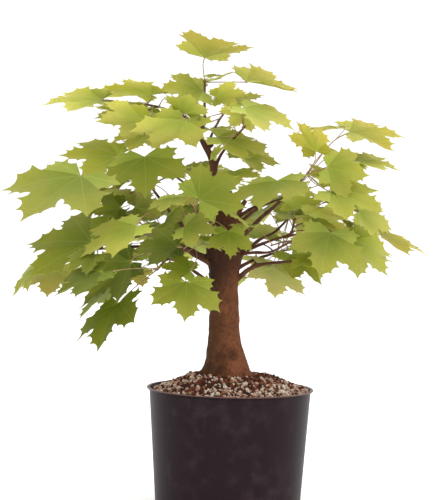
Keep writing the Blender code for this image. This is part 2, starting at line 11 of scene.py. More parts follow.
import bpy
from bpy.props import FloatProperty, FloatVectorProperty, IntProperty, PointerProperty
from mathutils import Matrix, Vector, noise
from mathutils.bvhtree import BVHTree


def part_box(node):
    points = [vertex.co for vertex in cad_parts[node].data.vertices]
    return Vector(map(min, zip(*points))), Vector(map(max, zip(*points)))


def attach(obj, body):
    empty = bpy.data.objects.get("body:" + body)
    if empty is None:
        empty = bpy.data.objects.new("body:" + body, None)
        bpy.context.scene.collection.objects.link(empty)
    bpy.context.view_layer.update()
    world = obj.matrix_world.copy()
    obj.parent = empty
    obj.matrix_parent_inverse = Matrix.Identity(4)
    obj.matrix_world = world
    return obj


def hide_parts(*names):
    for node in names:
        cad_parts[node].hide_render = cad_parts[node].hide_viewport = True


bl_info = {
    "name": "Norway Maple Bonsai",
    "version": (1, 0, 0),
    "blender": (4, 5, 0),
    "location": "View3D > Sidebar > Bonsai",
    "description": "Builds the finished bonsai, its pot and its soil around the packed frame",
    "category": "Object",
}

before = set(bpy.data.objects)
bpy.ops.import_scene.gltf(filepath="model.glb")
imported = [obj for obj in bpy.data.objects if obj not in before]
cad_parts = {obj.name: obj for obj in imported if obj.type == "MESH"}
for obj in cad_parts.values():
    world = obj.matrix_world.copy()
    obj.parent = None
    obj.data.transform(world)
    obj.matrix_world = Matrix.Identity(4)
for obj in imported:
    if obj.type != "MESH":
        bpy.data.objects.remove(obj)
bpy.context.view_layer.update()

MM = 0.001
WELD = 0.00001
ON_RING = 0.00002
UP = Vector((0.0, 0.0, 1.0))
POT_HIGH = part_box("pot")[1]
RIM_RADIUS = POT_HIGH.x
RIM_HEIGHT = POT_HIGH.z

# Limbs: base and tip radius in mm, and route to the tip in mm, as in the source.
LIMBS = {
    "leader": (8.4, 1.9, (
        (-14, 3, 408), (-26, 5, 454), (-33, 3, 487), (-49, 0, 517), (-44, 0, 536), (-44, 0, 560))),
    "bough_right_low": (3.4, 1.8, (
        (-1, 0, 313), (10, -8, 323), (27, -15, 337), (51, -28, 343), (88, -48, 347))),
    "bough_right_mid": (2.6, 1.6, (
        (-4, -4, 343), (13, -14, 354), (28, -24, 357), (49, -40, 358), (66, -58, 367))),
    "bough_right_hub": (3.0, 1.8, ((-2, -2, 350), (23, -10, 362), (46, -15, 372), (70, -20, 380))),
    "bough_right_back": (2.8, 1.7, (
        (-2, 6, 349), (20, 14, 362), (38, 26, 376), (59, 40, 387), (74, 52, 402))),
    "bough_right_high": (3.5, 1.9, (
        (-5, 0, 368), (17, -7, 384), (37, -16, 405), (54, -26, 420), (86, -46, 452))),
    "bough_front_right": (3.0, 1.8, (
        (-4, -2, 396), (10, -22, 408), (30, -56, 420), (46, -84, 428))),
    "bough_front": (3.4, 1.9, ((-13, 0, 372), (-18, -26, 384), (-30, -62, 394), (-42, -104, 402))),
    "bough_left_low": (3.3, 1.8, ((-18, 0, 305), (-33, -9, 315), (-55, -24, 331), (-80, -45, 344))),
    "bough_left_mid": (3.8, 2.1, (
        (-18, -4, 333), (-36, -14, 343), (-54, -27, 352), (-68, -44, 362))),
    "bough_left_long": (3.6, 1.9, (
        (-18, 2, 342), (-44, -2, 352), (-84, -8, 362), (-124, -20, 362), (-150, -32, 360))),
    "bough_left_high": (3.8, 2.0, (
        (-18, 0, 360), (-40, -10, 371), (-67, -30, 389), (-89, -46, 412), (-108, -58, 436))),
    "bough_back_left": (3.6, 1.9, ((-14, 2, 330), (-32, 24, 344), (-60, 56, 360), (-88, 84, 372))),
    "bough_back_right": (3.5, 1.9, ((-8, 2, 322), (10, 24, 336), (34, 58, 348), (58, 88, 356))),
    "bough_back": (3.5, 1.9, ((-10, 2, 366), (-14, 28, 380), (-18, 66, 402), (-12, 104, 420))),
    "bough_back_high": (3.1, 1.8, ((-8, 2, 396), (-22, 18, 412), (-52, 48, 440), (-80, 74, 462))),
    "bough_back_top": (3.1, 1.8, ((-4, 2, 386), (10, 18, 400), (40, 48, 424), (74, 78, 438))),
    "limb_top_left": (2.4, 1.6, ((-50, 0, 514), (-62, -6, 536), (-80, -10, 546), (-96, -13, 551))),
    "limb_top_right": (2.6, 1.6, ((-29, 3, 472), (-19, -12, 492), (-6, -26, 508))),
    "limb_top_back": (2.4, 1.6, ((-40, 2, 500), (-34, 22, 520), (-26, 48, 540))),
}
# Pruned stubs: foot and end in mm, foot and end radius in mm.
STUBS = (
    ((4, -5, 412), (16, -9, 429), 4.2, 3.0),
    ((-6, -6, 418), (-5, -8, 436), 3.2, 2.3),
    ((26, -15, 334), (31, -17, 345), 2.2, 1.5),
    ((68, -20, 379), (90, -27, 384), 1.9, 1.4),
    ((-40, 3, 500), (-31, 0, 506), 3.2, 2.4),
)
# Knots and old pruning scars on the trunk: place in mm, radius and swelling in mm.
KNOTS = (
    ((12, -18, 306), 6.0, 1.2),
    ((-15, -25, 214), 9.0, 0.8),
    ((2, -24, 217), 10.0, 0.9),
    ((-27, -20, 200), 8.0, 0.6),
    ((-38, -18, 184), 10.0, 0.8),
    ((-14, -33, 196), 8.0, 0.6),
    ((9, -20, 336), 9.0, 1.6),
    ((-30, 4, 322), 7.0, 1.2),
    ((4, 22, 290), 7.0, 1.2),
    ((-20, 20, 250), 8.0, 1.0),
)
KNOT_RAGGED = 0.45
KNOT_REACH = 1.6

# Limbs and stubs: the spacing of their points, the collar at the foot and its run, and
# the spacing, length and swelling of their nodes.
LIMB_STEP = 7 * MM
LIMB_SIDES = 12
LIMB_COLLAR = 0.75
STUB_STEP = 4 * MM
STUB_COLLAR = 0.3
COLLAR_RUN = 9 * MM
NODE_SPACING = 23 * MM
NODE_LENGTH = 2.6 * MM
NODE_SWELLING = 0.20

# The bark's relief: sizes of its lumps and of its broad swells, how much they are drawn
# out upwards, and how far from the trunk the bark turns young and smooth.
BARK_LUMPS = 0.0055
BARK_SWELLS = 0.021
BARK_UPRIGHT = 0.36
YOUNG_FROM = 1.2 * MM
YOUNG_ALL = 5 * MM
YOUNG_SMOOTHNESS = 0.78

# A leaf blade's five lobes, in units of the lobe-to-lobe width / BLADE_SPAN. A lobe has
# its vein's turn from the midrib in degrees, and for the side towards the midrib and the
# side away from it the margin from the tip: (along the vein, out to the side). The last
# place is where the lobe meets its neighbour.
BLADE_SPAN = 1.40
CENTRAL_MARGIN = ((1.00, 0.0), (0.95, 0.016), (0.895, 0.042), (0.85, 0.085), (0.83, 0.13),
                  (0.85, 0.20), (0.795, 0.178), (0.745, 0.195), (0.715, 0.235), (0.72, 0.315),
                  (0.67, 0.262), (0.61, 0.235), (0.555, 0.245))
HALF_BLADE_LOBES = (
    (0.0, None, CENTRAL_MARGIN),
    (49.5,
     ((0.99, 0.0), (0.94, 0.016), (0.89, 0.038), (0.845, 0.075), (0.82, 0.12), (0.845, 0.185),
      (0.785, 0.165), (0.735, 0.178), (0.70, 0.205), (0.685, 0.25), (0.65, 0.232), (0.59, 0.235),
      (0.546, 0.263)),
     ((0.99, 0.0), (0.94, 0.018), (0.885, 0.045), (0.84, 0.09), (0.82, 0.14), (0.835, 0.215),
      (0.775, 0.19), (0.715, 0.20), (0.665, 0.235), (0.66, 0.325), (0.61, 0.27), (0.56, 0.225),
      (0.512, 0.195))),
    (99.0,
     ((0.60, 0.0), (0.57, 0.018), (0.535, 0.045), (0.51, 0.09), (0.54, 0.165), (0.49, 0.18),
      (0.468, 0.215), (0.481, 0.266)),
     ((0.60, 0.0), (0.565, 0.015), (0.52, 0.035), (0.475, 0.055), (0.45, 0.135), (0.40, 0.075),
      (0.33, 0.08), (0.27, 0.13))),
)
VEIN_TURNS = tuple(math.radians(turn) for turn in (-99.0, -49.5, 0.0, 49.5, 99.0))
CREST_TURN = math.radians(24.75)
SIDE_VEIN_SLANT = 0.6
VEIN_STEP = 0.012
ROWS_TO_JOINT = (0.62, 0.30)
ACROSS_LOBE = (0.0, 0.55, 1.0)
ACROSS_YOUNG_LOBE = (0.0, 1.0)
BLADE_WELD = 0.0004
BLADE_SLIVER = 0.0001

# How one blade differs from the next.
RIPPLE_FINENESS = 4.0
FINE_WAVE = 0.35
OUTLINE_SWELLS = (0.035, 0.03)
WAVE_SHARE = (0.5, 1.3)
PLEAT_SHARE = (0.6, 1.4)
TIP_DROOP = (-0.02, 0.05)
TIP_LEAN = (-0.05, 0.05)

# The source's coarser blade, which keeps neighbours apart.
HALF_BLADE = ((1.00, 0.00), (0.80, 0.24), (0.52, 0.23), (0.71, 0.45),
              (0.62, 0.72), (0.34, 0.70), (0.17, 0.48), (-0.09, 0.56))
BLADE_HUB = 0.2
BLADE_SAG = 0.07
BLADE_FOLD = 0.05
BLADE_THICKNESS = 1.3 * MM
STALK_RADIUS = 1.05 * MM
STALK_RUN_IN = 5 * MM
STALK_PIECES = 3
STALK_EASE = 0.30
STALK_DIP = 0.06
TWIG_RADIUS = 1.7 * MM
TWIG_TAPER = 0.8
TWIG_STEP = 8 * MM
TWIG_LEAD = 2 * MM
TWIG_BEND = (0.25, 0.1)
TWIG_END = (0.3, 0.7)
SEAT_GAP = 0.3 * MM
SOURCE_LIMB_STEP = 14 * MM
TOUCH_MARGIN = 0.7 * MM
ROOT_SUNK = 2.4 * MM
FORK_SUNK = 7 * MM
SLIDES = (0, 8, -8, 16, -16, 24, -24, 34, -34, 46, -46)
BOWS = ((0, 0), (0, 18), (0, -18), (18, 0), (-18, 0), (0, 34), (26, 20), (-26, 20))

# Foliage masses: carrying limb, the stem's heading, rise and length, the lead leaves,
# and the number of leaves the rule adds. A lead leaf is its tint, which paints in the
# light and shade it gets as well as its colour, its stalk joint x, y, z in mm, heading,
# droop and bank in degrees, its width in mm, and its fold where that isn't BLADE_FOLD.
MASSES = {
    "foliage_apex": ("leader", (95, 82, 30), (
        ("gold", -46, -10, 624, 53, -30, 20, 104, 0.28),
        ("sunny", 13, 0, 594, 16, 5, 21, 118, 0.25),
        ("fresh", -48, 0, 579, -164, -2, -38, 90),
        ("light", -42, 12, 596, 60, -22, -10, 67),
        ("bright", -29, -20, 568, -4, -11, -20, 64),
        ("light", -14, 20, 572, 8, -12, 24, 76),
        ("fresh", -39, -6, 596, 22, -16, 12, 34),
    ), 3),
    "foliage_top_left": ("limb_top_left", (172, 10, 26), (
        ("light", -183, -20, 562, -177, 4, 5, 118),
        ("bright", -117, 0, 572, -160, -7, 3, 119),
        ("fresh", -139, -10, 546, -143, -5, 9, 89),
        ("bright", -123, -60, 530, 169, -2, 24, 94),
        ("light", -68, -100, 528, 133, 26, 6, 106),
        ("light", -128, -10, 518, -111, 26, -8, 72),
        ("green", -68, -87, 536, -76, -36, -20, 56),
    ), 0),
    "foliage_top_right": ("limb_top_right", (-35, 40, 24), (
        ("light", 10, -63, 549, -11, 18, 20, 104),
        ("bright", 9, -51, 545, 122, 22, 29, 54),
        ("fresh", -26, -36, 512, -2, 14, 22, 108),
        ("green", 0, 40, 503, -1, 14, -17, 97),
        ("fresh", -29, -34, 480, 9, -68, 11, 34),
    ), 0),
    "foliage_top_back": ("limb_top_back", (75, 25, 40), (), 7),
    "foliage_right_high": ("bough_right_high", (-25, 50, 14), (
        ("fresh", 125, -90, 439, -22, 19, 25, 103),
        ("fresh", 121, -60, 471, -10, 10, 55, 78),
        ("light", 162, -10, 487, -4, 6, 15, 99),
        ("sunny", 158, 0, 527, 10, 1, 24, 112),
        ("sunny", 105, -77, 492, -148, -53, 1, 72),
        ("light", 167, -50, 415, 15, 24, 52, 76),
        ("sunny", 143, 30, 534, -172, 2, -8, 84),
        ("fresh", 128, -35, 463, -147, -7, -39, 50),
    ), 0),
    "foliage_right_hub": ("bough_right_hub", (-10, 80, 26), (
        ("fresh", 83, -20, 417, -46, -50, -11, 60),
        ("green", 78, 1, 412, 54, 18, 4, 70),
        ("bright", 96, -30, 409, 5, 17, -17, 103),
    ), 0),
    "foliage_right_mid": ("bough_right_mid", (-50, 20, 24), (
        ("green", 122, -120, 384, -113, 53, -22, 93),
        ("green", 151, -93, 377, -1, 43, -24, 104),
    ), 0),
    "foliage_right_low": ("bough_right_low", (-20, 10, 30), (
        ("gold", 184, 13, 397, -1, 21, 11, 140),
    ), 3),
    "foliage_right_back": ("bough_right_back", (40, 25, 40), (
        ("green", 40, 93, 380, -116, -33, -6, 82),
        ("olive", 58, 32, 337, 81, 42, 22, 88),
        ("green", 84, 42, 356, -33, 35, 13, 95),
        ("green", 52, 109, 338, -124, -22, -4, 69),
    ), 4),
    "foliage_front_right": ("bough_front_right", (-70, 20, 16), (
        ("green", 54, -100, 451, -117, 32, 5, 104),
    ), 0),
    "foliage_front": ("bough_front", (-110, 10, 24), (
        ("deep", -46, -185, 420, 18, -36, 56, 84),
        ("green", -64, -150, 387, -23, 6, 42, 65),
        ("deep", -9, -139, 383, -71, 68, 2, 54),
        ("deep", -91, -100, 394, -74, 9, 54, 59),
    ), 0),
    "foliage_left_mid": ("bough_left_mid", (-130, 5, 26), (
        ("fresh", -123, -170, 386, -166, 25, -17, 110),
        ("green", -61, -110, 317, -85, 54, -7, 86),
        ("dark", -72, -141, 362, -170, -1, 34, 82),
        ("deep", -55, -125, 331, 179, -14, -30, 60),
    ), 0),
    "foliage_left_long": ("bough_left_long", (-160, -5, 34), (
        ("deep", -188, -90, 366, 162, -2, -40, 128),
        ("deep", -173, -179, 350, -161, 26, -24, 57),
        ("green", -254, -57, 339, -180, 46, -16, 90),
        ("sand", -246, -7, 328, -97, 37, 2, 82),
    ), 0),
    "foliage_left_low": ("bough_left_low", (-125, -40, 34), (
        ("dark", -131, -125, 341, -170, 36, 41, 96),
        ("shade", -160, -207, 328, -168, 24, -12, 98),
        ("shade", -146, -125, 289, -118, 45, 22, 107),
        ("shade", -155, -87, 313, 165, 44, 0, 100),
        ("deep", -120, -3, 345, -122, -19, 4, 73),
        ("sand", -133, 20, 330, -135, 35, -17, 60),
    ), 0),
    "foliage_left_high": ("bough_left_high", (-145, 35, 18), (
        ("green", -199, -120, 450, -137, 30, -17, 150),
        ("fresh", -158, -44, 483, -174, -1, -28, 116),
        ("deep", -120, -90, 479, -80, 50, 12, 100),
        ("shade", -154, -36, 414, -171, 9, 38, 64),
        ("green", -136, -23, 416, -3, -16, -31, 66),
        ("green", -144, 6, 426, -110, -24, -3, 72),
        ("bright", -74, -32, 414, -60, -24, -13, 66),
    ), 0),
    "foliage_back_left": ("bough_back_left", (135, 10, 60), (), 7),
    "foliage_back_right": ("bough_back_right", (55, 8, 60), (), 7),
    "foliage_back": ("bough_back", (85, 15, 60), (
        ("light", 0, 62, 474, -95, 24, 4, 76),
    ), 6),
    "foliage_back_high": ("bough_back_high", (135, 25, 50), (), 6),
    "foliage_back_top": ("bough_back_top", (40, 20, 50), (), 6),
}
RULE_SEED = 41
RULE_TRIES = 120
RULE_WIDTH = (80, 112)
RULE_STALK = (46, 108)
RULE_SPREAD = math.radians(82)
RULE_RISE = (-28, 52)
RULE_DROOP = (2, 30)
RULE_BANK = (-14, 14)
RULE_TWIST = 0.5

# Outline of the crown seen from the front: height, left reach and right reach, mm.
CROWN = ((285, -200, 60), (305, -255, 120), (345, -265, 215), (375, -262, 240), (410, -250, 225),
         (455, -250, 220), (500, -225, 215), (540, -200, 130), (567, -170, 80), (590, -100, 60),
         (625, -70, 10))
CROWN_DEPTH = 265 * MM

# Gaps in the crown for an eye in front of it: left, right, low and high side, in mm,
# on the upright plane through the trunk.
EYE = Vector((-0.023, -1.6, 0.35))
LIGHT_GAPS = ((44, 89, 498, 524), (67, 95, 459, 498), (-16, 6, 477, 499), (-99, -49, 481, 507),
              (-99, -72, 437, 459), (-143, -121, 496, 510), (117, 142, 505, 521),
              (40, 71, 357, 369), (-143, -115, 304, 338), (28, 66, 562, 586),
              (-42, -12, 530, 564), (60, 74, 384, 402), (10, 46, 514, 536), (38, 90, 458, 480),
              (-124, -90, 554, 568), (110, 130, 440, 453), (182, 216, 440, 458),
              (160, 178, 402, 413), (32, 78, 346, 358))

# How a stem starts inside its limb's tip, in mm and as a share of the tip's radius, and
# how much its every other node swells.
TWIG_SUNK = 5
TWIG_SEAT = 0.92
TWIG_SWELLING = 0.16

# Finer growth: side shoots off the stems, each with a pair of young leaves.
SHOOT_SEED = 7
SHOOT_TRIES = 60
SHOOT_RUN = (14, 34)
SHOOT_TURN = (-2.4, 2.4)
SHOOT_RISE = (-0.4, 0.8)
SHOOT_RADIUS = 1.1 * MM
SHOOT_FOOT = 1.1
SHOOT_TAPER = 0.35
SHOOT_ARCH = 1.2
SHOOT_STEP = 5 * MM
YOUNG_WIDTH = (42, 70)
YOUNG_STALK = (20, 52)
YOUNG_DROOP = (0, 34)
YOUNG_SPREAD = (0.3, 1.1)
YOUNG_RISE = (-0.2, 0.7)
YOUNG_TWIST = (0.2, 1.2)
YOUNG_BANK = (-0.3, 0.3)

# A stalk's radius in mm on a leaf 100 mm wide, its swellings at the foot and the blade,
# and how far in mm it runs on under the blade.
STALK_RINGS = 9
STALK_SLIM = 0.64
STALK_FOOT = 0.75
STALK_HEAD = 0.28
STALK_ON = 1.5
STALK_UNDER = 0.9
BUD_LENGTHS = {"end": 6.0 * MM, "side": 3.4 * MM, "shoot": 4.4 * MM}
BUD_SEAT = 0.8

# The pot: its tapered wall, its floor, and the drain slots cut at its foot.
POT_FOOT_RADIUS = 0.0992
POT_NECK_RADIUS = 0.1113
POT_NECK_DROP = 0.0042
POT_WALL = 0.0020
POT_FLOOR = 0.0025
POT_FOOT_ROUNDING = 0.0025
POT_WALL_STEPS = 9
DRAIN_SLOTS = 6
DRAIN_TURN = math.radians(6.0)
DRAIN_WIDTH = 0.008
DRAIN_HEIGHT = 0.024
DRAIN_DEPTH = 0.012
DRAIN_ROUNDING = 0.0016

# The potting mix: a disc of rings laid on the ground, with a skirt down the pot's wall,
# a bank towards the wall and a hollow to the left of the trunk.
SOIL_SIDES = 180
SOIL_LEVEL = 0.1625
SOIL_CLEARANCE = 0.0001
SOIL_RING_STEP = 0.0030
SOIL_LUMPS = 0.011
SKIRT_DROP = 0.02
SKIRT_INSET = 0.0025
GROUND_INSET = 0.985
BANK_FULL = 0.075
HOLLOW_X = -0.068
HOLLOW_WIDTH = 0.020

# Grit: grains knocked out of a cube, which sink in, may overlap and keep off the wall.
GRAIN_SEED = 11
GRAIN_SHAPES = 7
GRAIN_KNOCKS = (0.66, 1.12)
GRAIN_SQUARE = 0.82
GRAIN_FLAT = 0.72
GRAIN_SPREAD = (0.4, 1.0)
GRAIN_SUNK = (0.02, 0.22)
GRAIN_OVERLAP = 0.40
GRAIN_WALL_GAP = 0.0045
COARSE_FIRST = 2.4
# Drifts of pale grit: their size, and where they start and how fast they thicken
# on the way from the trunk to the rim.
DRIFT_SIZE = 0.026
DRIFT_START = 0.044
DRIFT_RUN = 0.050
# Where the trunk stands in the soil: x, y and radius, and the gap that a grain leaves
# to it as a share of its size.
TRUNK_FOOT = (-0.007, -0.004, 0.036)
TRUNK_GAP = 0.2

# The stage: the floor, the point that the lamps face, and the camera.
FLOOR_RADIUS = 30.0
FLOOR_DROP = 0.0002
LIT_CENTRE = (0.0, 0.0, 0.35)
CAMERA_TILT = math.radians(90.34)
CAMERA_ROLL = math.radians(1.3)
PHOTO_HEIGHT = 500
PHOTO_FOCAL = 1155
SENSOR = 36.0


def tone(red, green, blue):
    """A colour given in 0 to 255 display steps, as scene linear values."""
    return tuple(((step / 255.0 + 0.055) / 1.055) ** 2.4 if step > 10 else step / 3294.6
                 for step in (red, green, blue))


# Leaf tints: besides the leaves' own yellower, olive and sandy tones, lighter and darker copies of
# one green, which paint in the light and shade that each leaf gets where it sits.
LEAF_TINTS_LIT_AND_SHADED = {
    "bright": tone(189, 186, 90),
    "light": tone(169, 169, 80),
    "sunny": tone(160, 152, 60),
    "fresh": tone(148, 150, 59),
    "green": tone(133, 137, 58),
    "gold": tone(147, 139, 50),
    "olive": tone(152, 149, 86),
    "sand": tone(166, 156, 108),
    "deep": tone(114, 121, 38),
    "shade": tone(89, 98, 21),
    "dark": tone(71, 80, 14),
}
# Tints that the rule's leaves take, from low and left to high and right, with the
# heights and breadth in mm that they spread over: painted shade low on the left, painted
# light high on the right.
SPRAY_SHADE_TO_LIGHT = ("shade", "deep", "green", "fresh", "light", "bright")
SPRAY_FOOT = 300
SPRAY_HEIGHT = 280
SPRAY_BREADTH = 900
SPRAY_STRAY = (-0.2, 0.2)

# How much greyer the underside of a light leaf is, and how much paler any underside:
# partly the underside's own paler colour, partly painted light shining through the blade.
GREY_UNDER_LIGHT = 0.25
UNDERSIDE_PALER_AND_LIT_THROUGH = 1.3

# Grit: its name, its colour and how common it is.
GRAIN_KINDS = (
    ("grit_cream", tone(236, 216, 198), 0.30),
    ("grit_blush", tone(208, 170, 152), 0.26),
    ("grit_brick", tone(122, 64, 46), 0.26),
    ("grit_ochre", tone(158, 110, 70), 0.10),
    ("grit_umber", tone(74, 44, 34), 0.26),
)
PALE_GRIT = ("grit_cream", "grit_blush")


class PotSettings(bpy.types.PropertyGroup):
    """Sizes and colours of the nursery pot."""

    sides: IntProperty(name="Sides", description="Facets round the pot", default=144, min=48)
    lip_radius: FloatProperty(name="Lip radius", description="Rounding of the rolled lip",
                              default=0.0011, unit="LENGTH")
    plastic: FloatVectorProperty(name="Plastic", description="Colour of the moulded plastic",
                                 subtype="COLOR", default=tone(36, 27, 30))
    scuffed: FloatVectorProperty(name="Scuffs", description="Colour of dust and scuffs",
                                 subtype="COLOR", default=tone(66, 54, 57))
    # The lip's edge colour: a painted highlight where light falls on the top of the lip, with some
    # wear.
    worn_edge: FloatVectorProperty(name="Lit worn edge", description="Colour of the lip's lit, worn edge",
                                   subtype="COLOR", default=tone(112, 74, 66))


class SoilSettings(bpy.types.PropertyGroup):
    """Sizes and colours of the potting mix."""

    relief: FloatProperty(name="Relief", description="Height of the lumps in the surface",
                          default=0.0022, unit="LENGTH")
    banked: FloatProperty(name="Banked", description="Rise of the mix against the pot's wall",
                          default=0.0030, unit="LENGTH")
    hollow: FloatProperty(name="Hollow", description="Depth of the hollow to the left of the trunk",
                          default=0.0042, unit="LENGTH")
    grains: IntProperty(name="Grains", description="Tries at laying a grain", default=7200, min=0)
    smallest: FloatProperty(name="Smallest", description="Size of the smallest grain",
                            default=0.0019, unit="LENGTH")
    largest: FloatProperty(name="Largest", description="Size of the largest grain",
                           default=0.0060, unit="LENGTH")
    earth: FloatVectorProperty(name="Earth", description="Colour of the damp mix",
                               subtype="COLOR", default=tone(88, 50, 36))


class BarkSettings(bpy.types.PropertyGroup):
    """Fineness, relief and colours of the bark."""

    fineness: FloatProperty(name="Fineness", description="Size of the mesh's cells",
                            default=0.0011, unit="LENGTH")
    relief: FloatProperty(name="Relief", description="Depth of the bark's furrows on the trunk",
                          default=0.0008, unit="LENGTH")
    ruddy: FloatVectorProperty(name="Ruddy", description="Colour of the lower trunk",
                               subtype="COLOR", default=tone(134, 81, 53))
    # Painted shade: the trunk's left side is coloured darker, with an olive tint, as it lies away
    # from the light.
    mossy: FloatVectorProperty(name="Olive shaded side", description="Colour of the trunk's duller side",
                               subtype="COLOR", default=tone(78, 50, 27))
    # Also the colour of the painted shade on the upper trunk under the crown.
    furrow: FloatVectorProperty(name="Furrows", description="Colour of furrows and old scars",
                                subtype="COLOR", default=tone(50, 29, 22))
    young: FloatVectorProperty(name="Young bark", description="Colour of boughs and twigs",
                               subtype="COLOR", default=tone(100, 64, 46))


class FoliageSettings(bpy.types.PropertyGroup):
    """Fullness and forms of the leaves."""

    thickness: FloatProperty(name="Thickness", description="Thickness of a blade",
                             default=0.0004, unit="LENGTH")
    pleat: FloatProperty(name="Pleat", description="Rise of the blade between two veins",
                         default=0.065)
    wave: FloatProperty(name="Wave", description="Height of the waves along the margin",
                        default=0.05)
    ripple: FloatProperty(name="Ripple", description="Height of the small hollows in a blade",
                          default=0.035)
    shoots: IntProperty(name="Shoots", description="Side shoots tried on each stem",
                        default=5, min=0)
    stalk: FloatVectorProperty(name="Stalks", description="Colour of the leaf stalks",
                               subtype="COLOR", default=tone(170, 146, 96))
    vein: FloatVectorProperty(name="Veins", description="Colour of the veins",
                              subtype="COLOR", default=tone(190, 190, 120))
    underside: FloatVectorProperty(name="Underside", description="Colour of the blades' undersides",
                                   subtype="COLOR", default=tone(158, 156, 100))


class StageSettings(bpy.types.PropertyGroup):
    """Brightness of the studio."""

    surround: FloatProperty(name="Surround", description="Brightness of the white surround",
                            default=1.14)
    key_power: FloatProperty(name="Key light", description="Power of the soft light in front",
                             default=9.0, unit="POWER")
    top_power: FloatProperty(name="Top light", description="Power of the soft light overhead",
                             default=7.0, unit="POWER")


class Shade:
    """A number that varies over a surface, and takes part in sums as Math nodes."""

    def __init__(self, paint, socket):
        self.paint = paint
        self.socket = socket

    def sum_node(self, operation, first, second):
        made = self.paint.node("ShaderNodeMath", {"operation": operation}, {0: first, 1: second})
        return Shade(self.paint, made.outputs[0])

    def __add__(self, other):
        return self.sum_node("ADD", self, other)

    __radd__ = __add__

    def __sub__(self, other):
        return self.sum_node("SUBTRACT", self, other)

    def __rsub__(self, other):
        return self.sum_node("SUBTRACT", other, self)

    def __mul__(self, other):
        return self.sum_node("MULTIPLY", self, other)

    __rmul__ = __mul__

    def rise(self, low, high):
        """0 below low and 1 above high, with a smooth run between."""
        made = self.paint.node("ShaderNodeMapRange", {"interpolation_type": "SMOOTHSTEP"},
                               {"Value": self, "From Min": low, "From Max": high})
        return Shade(self.paint, made.outputs[0])


class Paint:
    """A material, and the nodes that give its surface colour and grain."""

    def __init__(self, name, fixed=None):
        self.material = bpy.data.materials.new(name)
        self.material.use_nodes = True
        self.tree = self.material.node_tree
        self.shader = self.tree.nodes["Principled BSDF"]
        self.surface(fixed or {})

    def surface(self, values):
        for socket, value in values.items():
            self.feed(self.shader.inputs[socket], value)

    def feed(self, socket, value):
        if isinstance(value, Shade):
            value = value.socket
        if isinstance(value, bpy.types.NodeSocket):
            self.tree.links.new(value, socket)
        elif socket.type == "RGBA":
            socket.default_value = (*tuple(value)[:3], 1.0)
        else:
            socket.default_value = value

    def node(self, kind, settings=None, sockets=None):
        made = self.tree.nodes.new(kind)
        for key, value in (settings or {}).items():
            setattr(made, key, value)
        for key, value in (sockets or {}).items():
            self.feed(made.inputs[key], value)
        return made

    def place(self, stretch=(1.0, 1.0, 1.0)):
        source = self.node("ShaderNodeTexCoord")
        return self.node("ShaderNodeMapping", sockets={
            "Vector": source.outputs["Object"], "Scale": stretch}).outputs[0]

    def side_and_height(self):
        source = self.node("ShaderNodeTexCoord")
        parts = self.node("ShaderNodeSeparateXYZ", sockets={0: source.outputs["Object"]})
        return Shade(self, parts.outputs[0]), Shade(self, parts.outputs[2])

    def mark(self, name):
        made = self.node("ShaderNodeAttribute", {"attribute_name": name})
        return Shade(self, made.outputs["Fac"])

    def mottle(self, size, detail=3.0, stretch=(1.0, 1.0, 1.0)):
        return Shade(self, self.node("ShaderNodeTexNoise", sockets={
            "Vector": self.place(stretch), "Scale": 1.0 / size, "Detail": detail}).outputs[0])

    def cracks(self, size, stretch=(1.0, 1.0, 1.0)):
        made = self.node("ShaderNodeTexVoronoi", {"feature": "DISTANCE_TO_EDGE"}, {
            "Vector": self.place(stretch), "Scale": 1.0 / size})
        return Shade(self, made.outputs["Distance"])

    def blend(self, share, first, second):
        made = self.node("ShaderNodeMix", {"data_type": "RGBA"}, {0: share, 6: first, 7: second})
        return made.outputs[2]

    def bump(self, height, depth):
        made = self.node("ShaderNodeBump", sockets={"Height": height, "Distance": depth})
        self.surface({"Normal": made.outputs[0]})


def shaded(colour, share):
    """The colour, darker or lighter by a share."""
    return tuple(min(1.0, part * share) for part in colour)


def tinted(colour, shares):
    """The colour with a share of its own for each of red, green and blue."""
    return tuple(part * share for part, share in zip(colour, shares))


def pot_plastic(settings):
    paint = Paint("pot_plastic")
    dust = paint.mottle(0.075, 5.0) * paint.mottle(0.019, 4.0)
    streaks = paint.mottle(0.006, 5.0, (1.0, 1.0, 0.22)).rise(0.62, 0.80)
    smears = paint.mottle(0.022, 6.0, (1.6, 1.0, 0.7)).rise(0.60, 0.78)
    scuffs = dust.rise(0.20, 0.50) * 0.4 + streaks * 0.08 + smears * 0.22
    paint.surface({
        "Base Color": paint.blend(scuffs, settings.plastic, settings.scuffed),
        "Roughness": 0.40 + scuffs * 0.22,
        "Specular IOR Level": 0.07,
        "Specular Tint": (0.90, 0.74, 0.80, 1.0),
    })
    paint.bump(paint.mottle(0.0016, 3.0) + smears * 0.6, 0.00022)
    return paint.material


def pot_lip(settings):
    # Painted highlight on the lip's top and outer rounding, mottled with wear.
    paint = Paint("pot_lip")
    wear = paint.mottle(0.008, 4.0).rise(0.36, 0.66)
    paint.surface({
        "Base Color": paint.blend(wear, shaded(settings.worn_edge, 0.6), settings.worn_edge),
        "Roughness": 0.38 + wear * 0.2,
    })
    paint.bump(paint.mottle(0.0012), 0.00012)
    return paint.material


def earth_mix(settings):
    paint = Paint("potting_mix", {"Specular IOR Level": 0.3})
    lumps = paint.mottle(0.006, 6.0)
    ruddy = paint.mottle(0.03, 3.0).rise(0.45, 0.65)
    dark = paint.blend(ruddy, shaded(settings.earth, 0.55), tone(96, 54, 38))
    paint.surface({
        "Base Color": paint.blend(lumps.rise(0.35, 0.7), dark, settings.earth),
        "Roughness": 0.82 + lumps * 0.15,
    })
    paint.bump(paint.mottle(0.0018, 5.0), 0.0009)
    return paint.material


def grit(name, colour):
    paint = Paint(name, {"Specular IOR Level": 0.25})
    pores = paint.mottle(0.0014, 4.0)
    dirt = paint.mottle(0.012, 3.0).rise(0.5, 0.72)
    stained = paint.blend(dirt * 0.7, colour, shaded(colour, 0.45))
    paint.surface({
        "Base Color": paint.blend(pores.rise(0.3, 0.7), shaded(colour, 0.72), stained),
        "Roughness": 0.8 + pores * 0.18,
    })
    paint.bump(pores, 0.0004)
    return paint.material


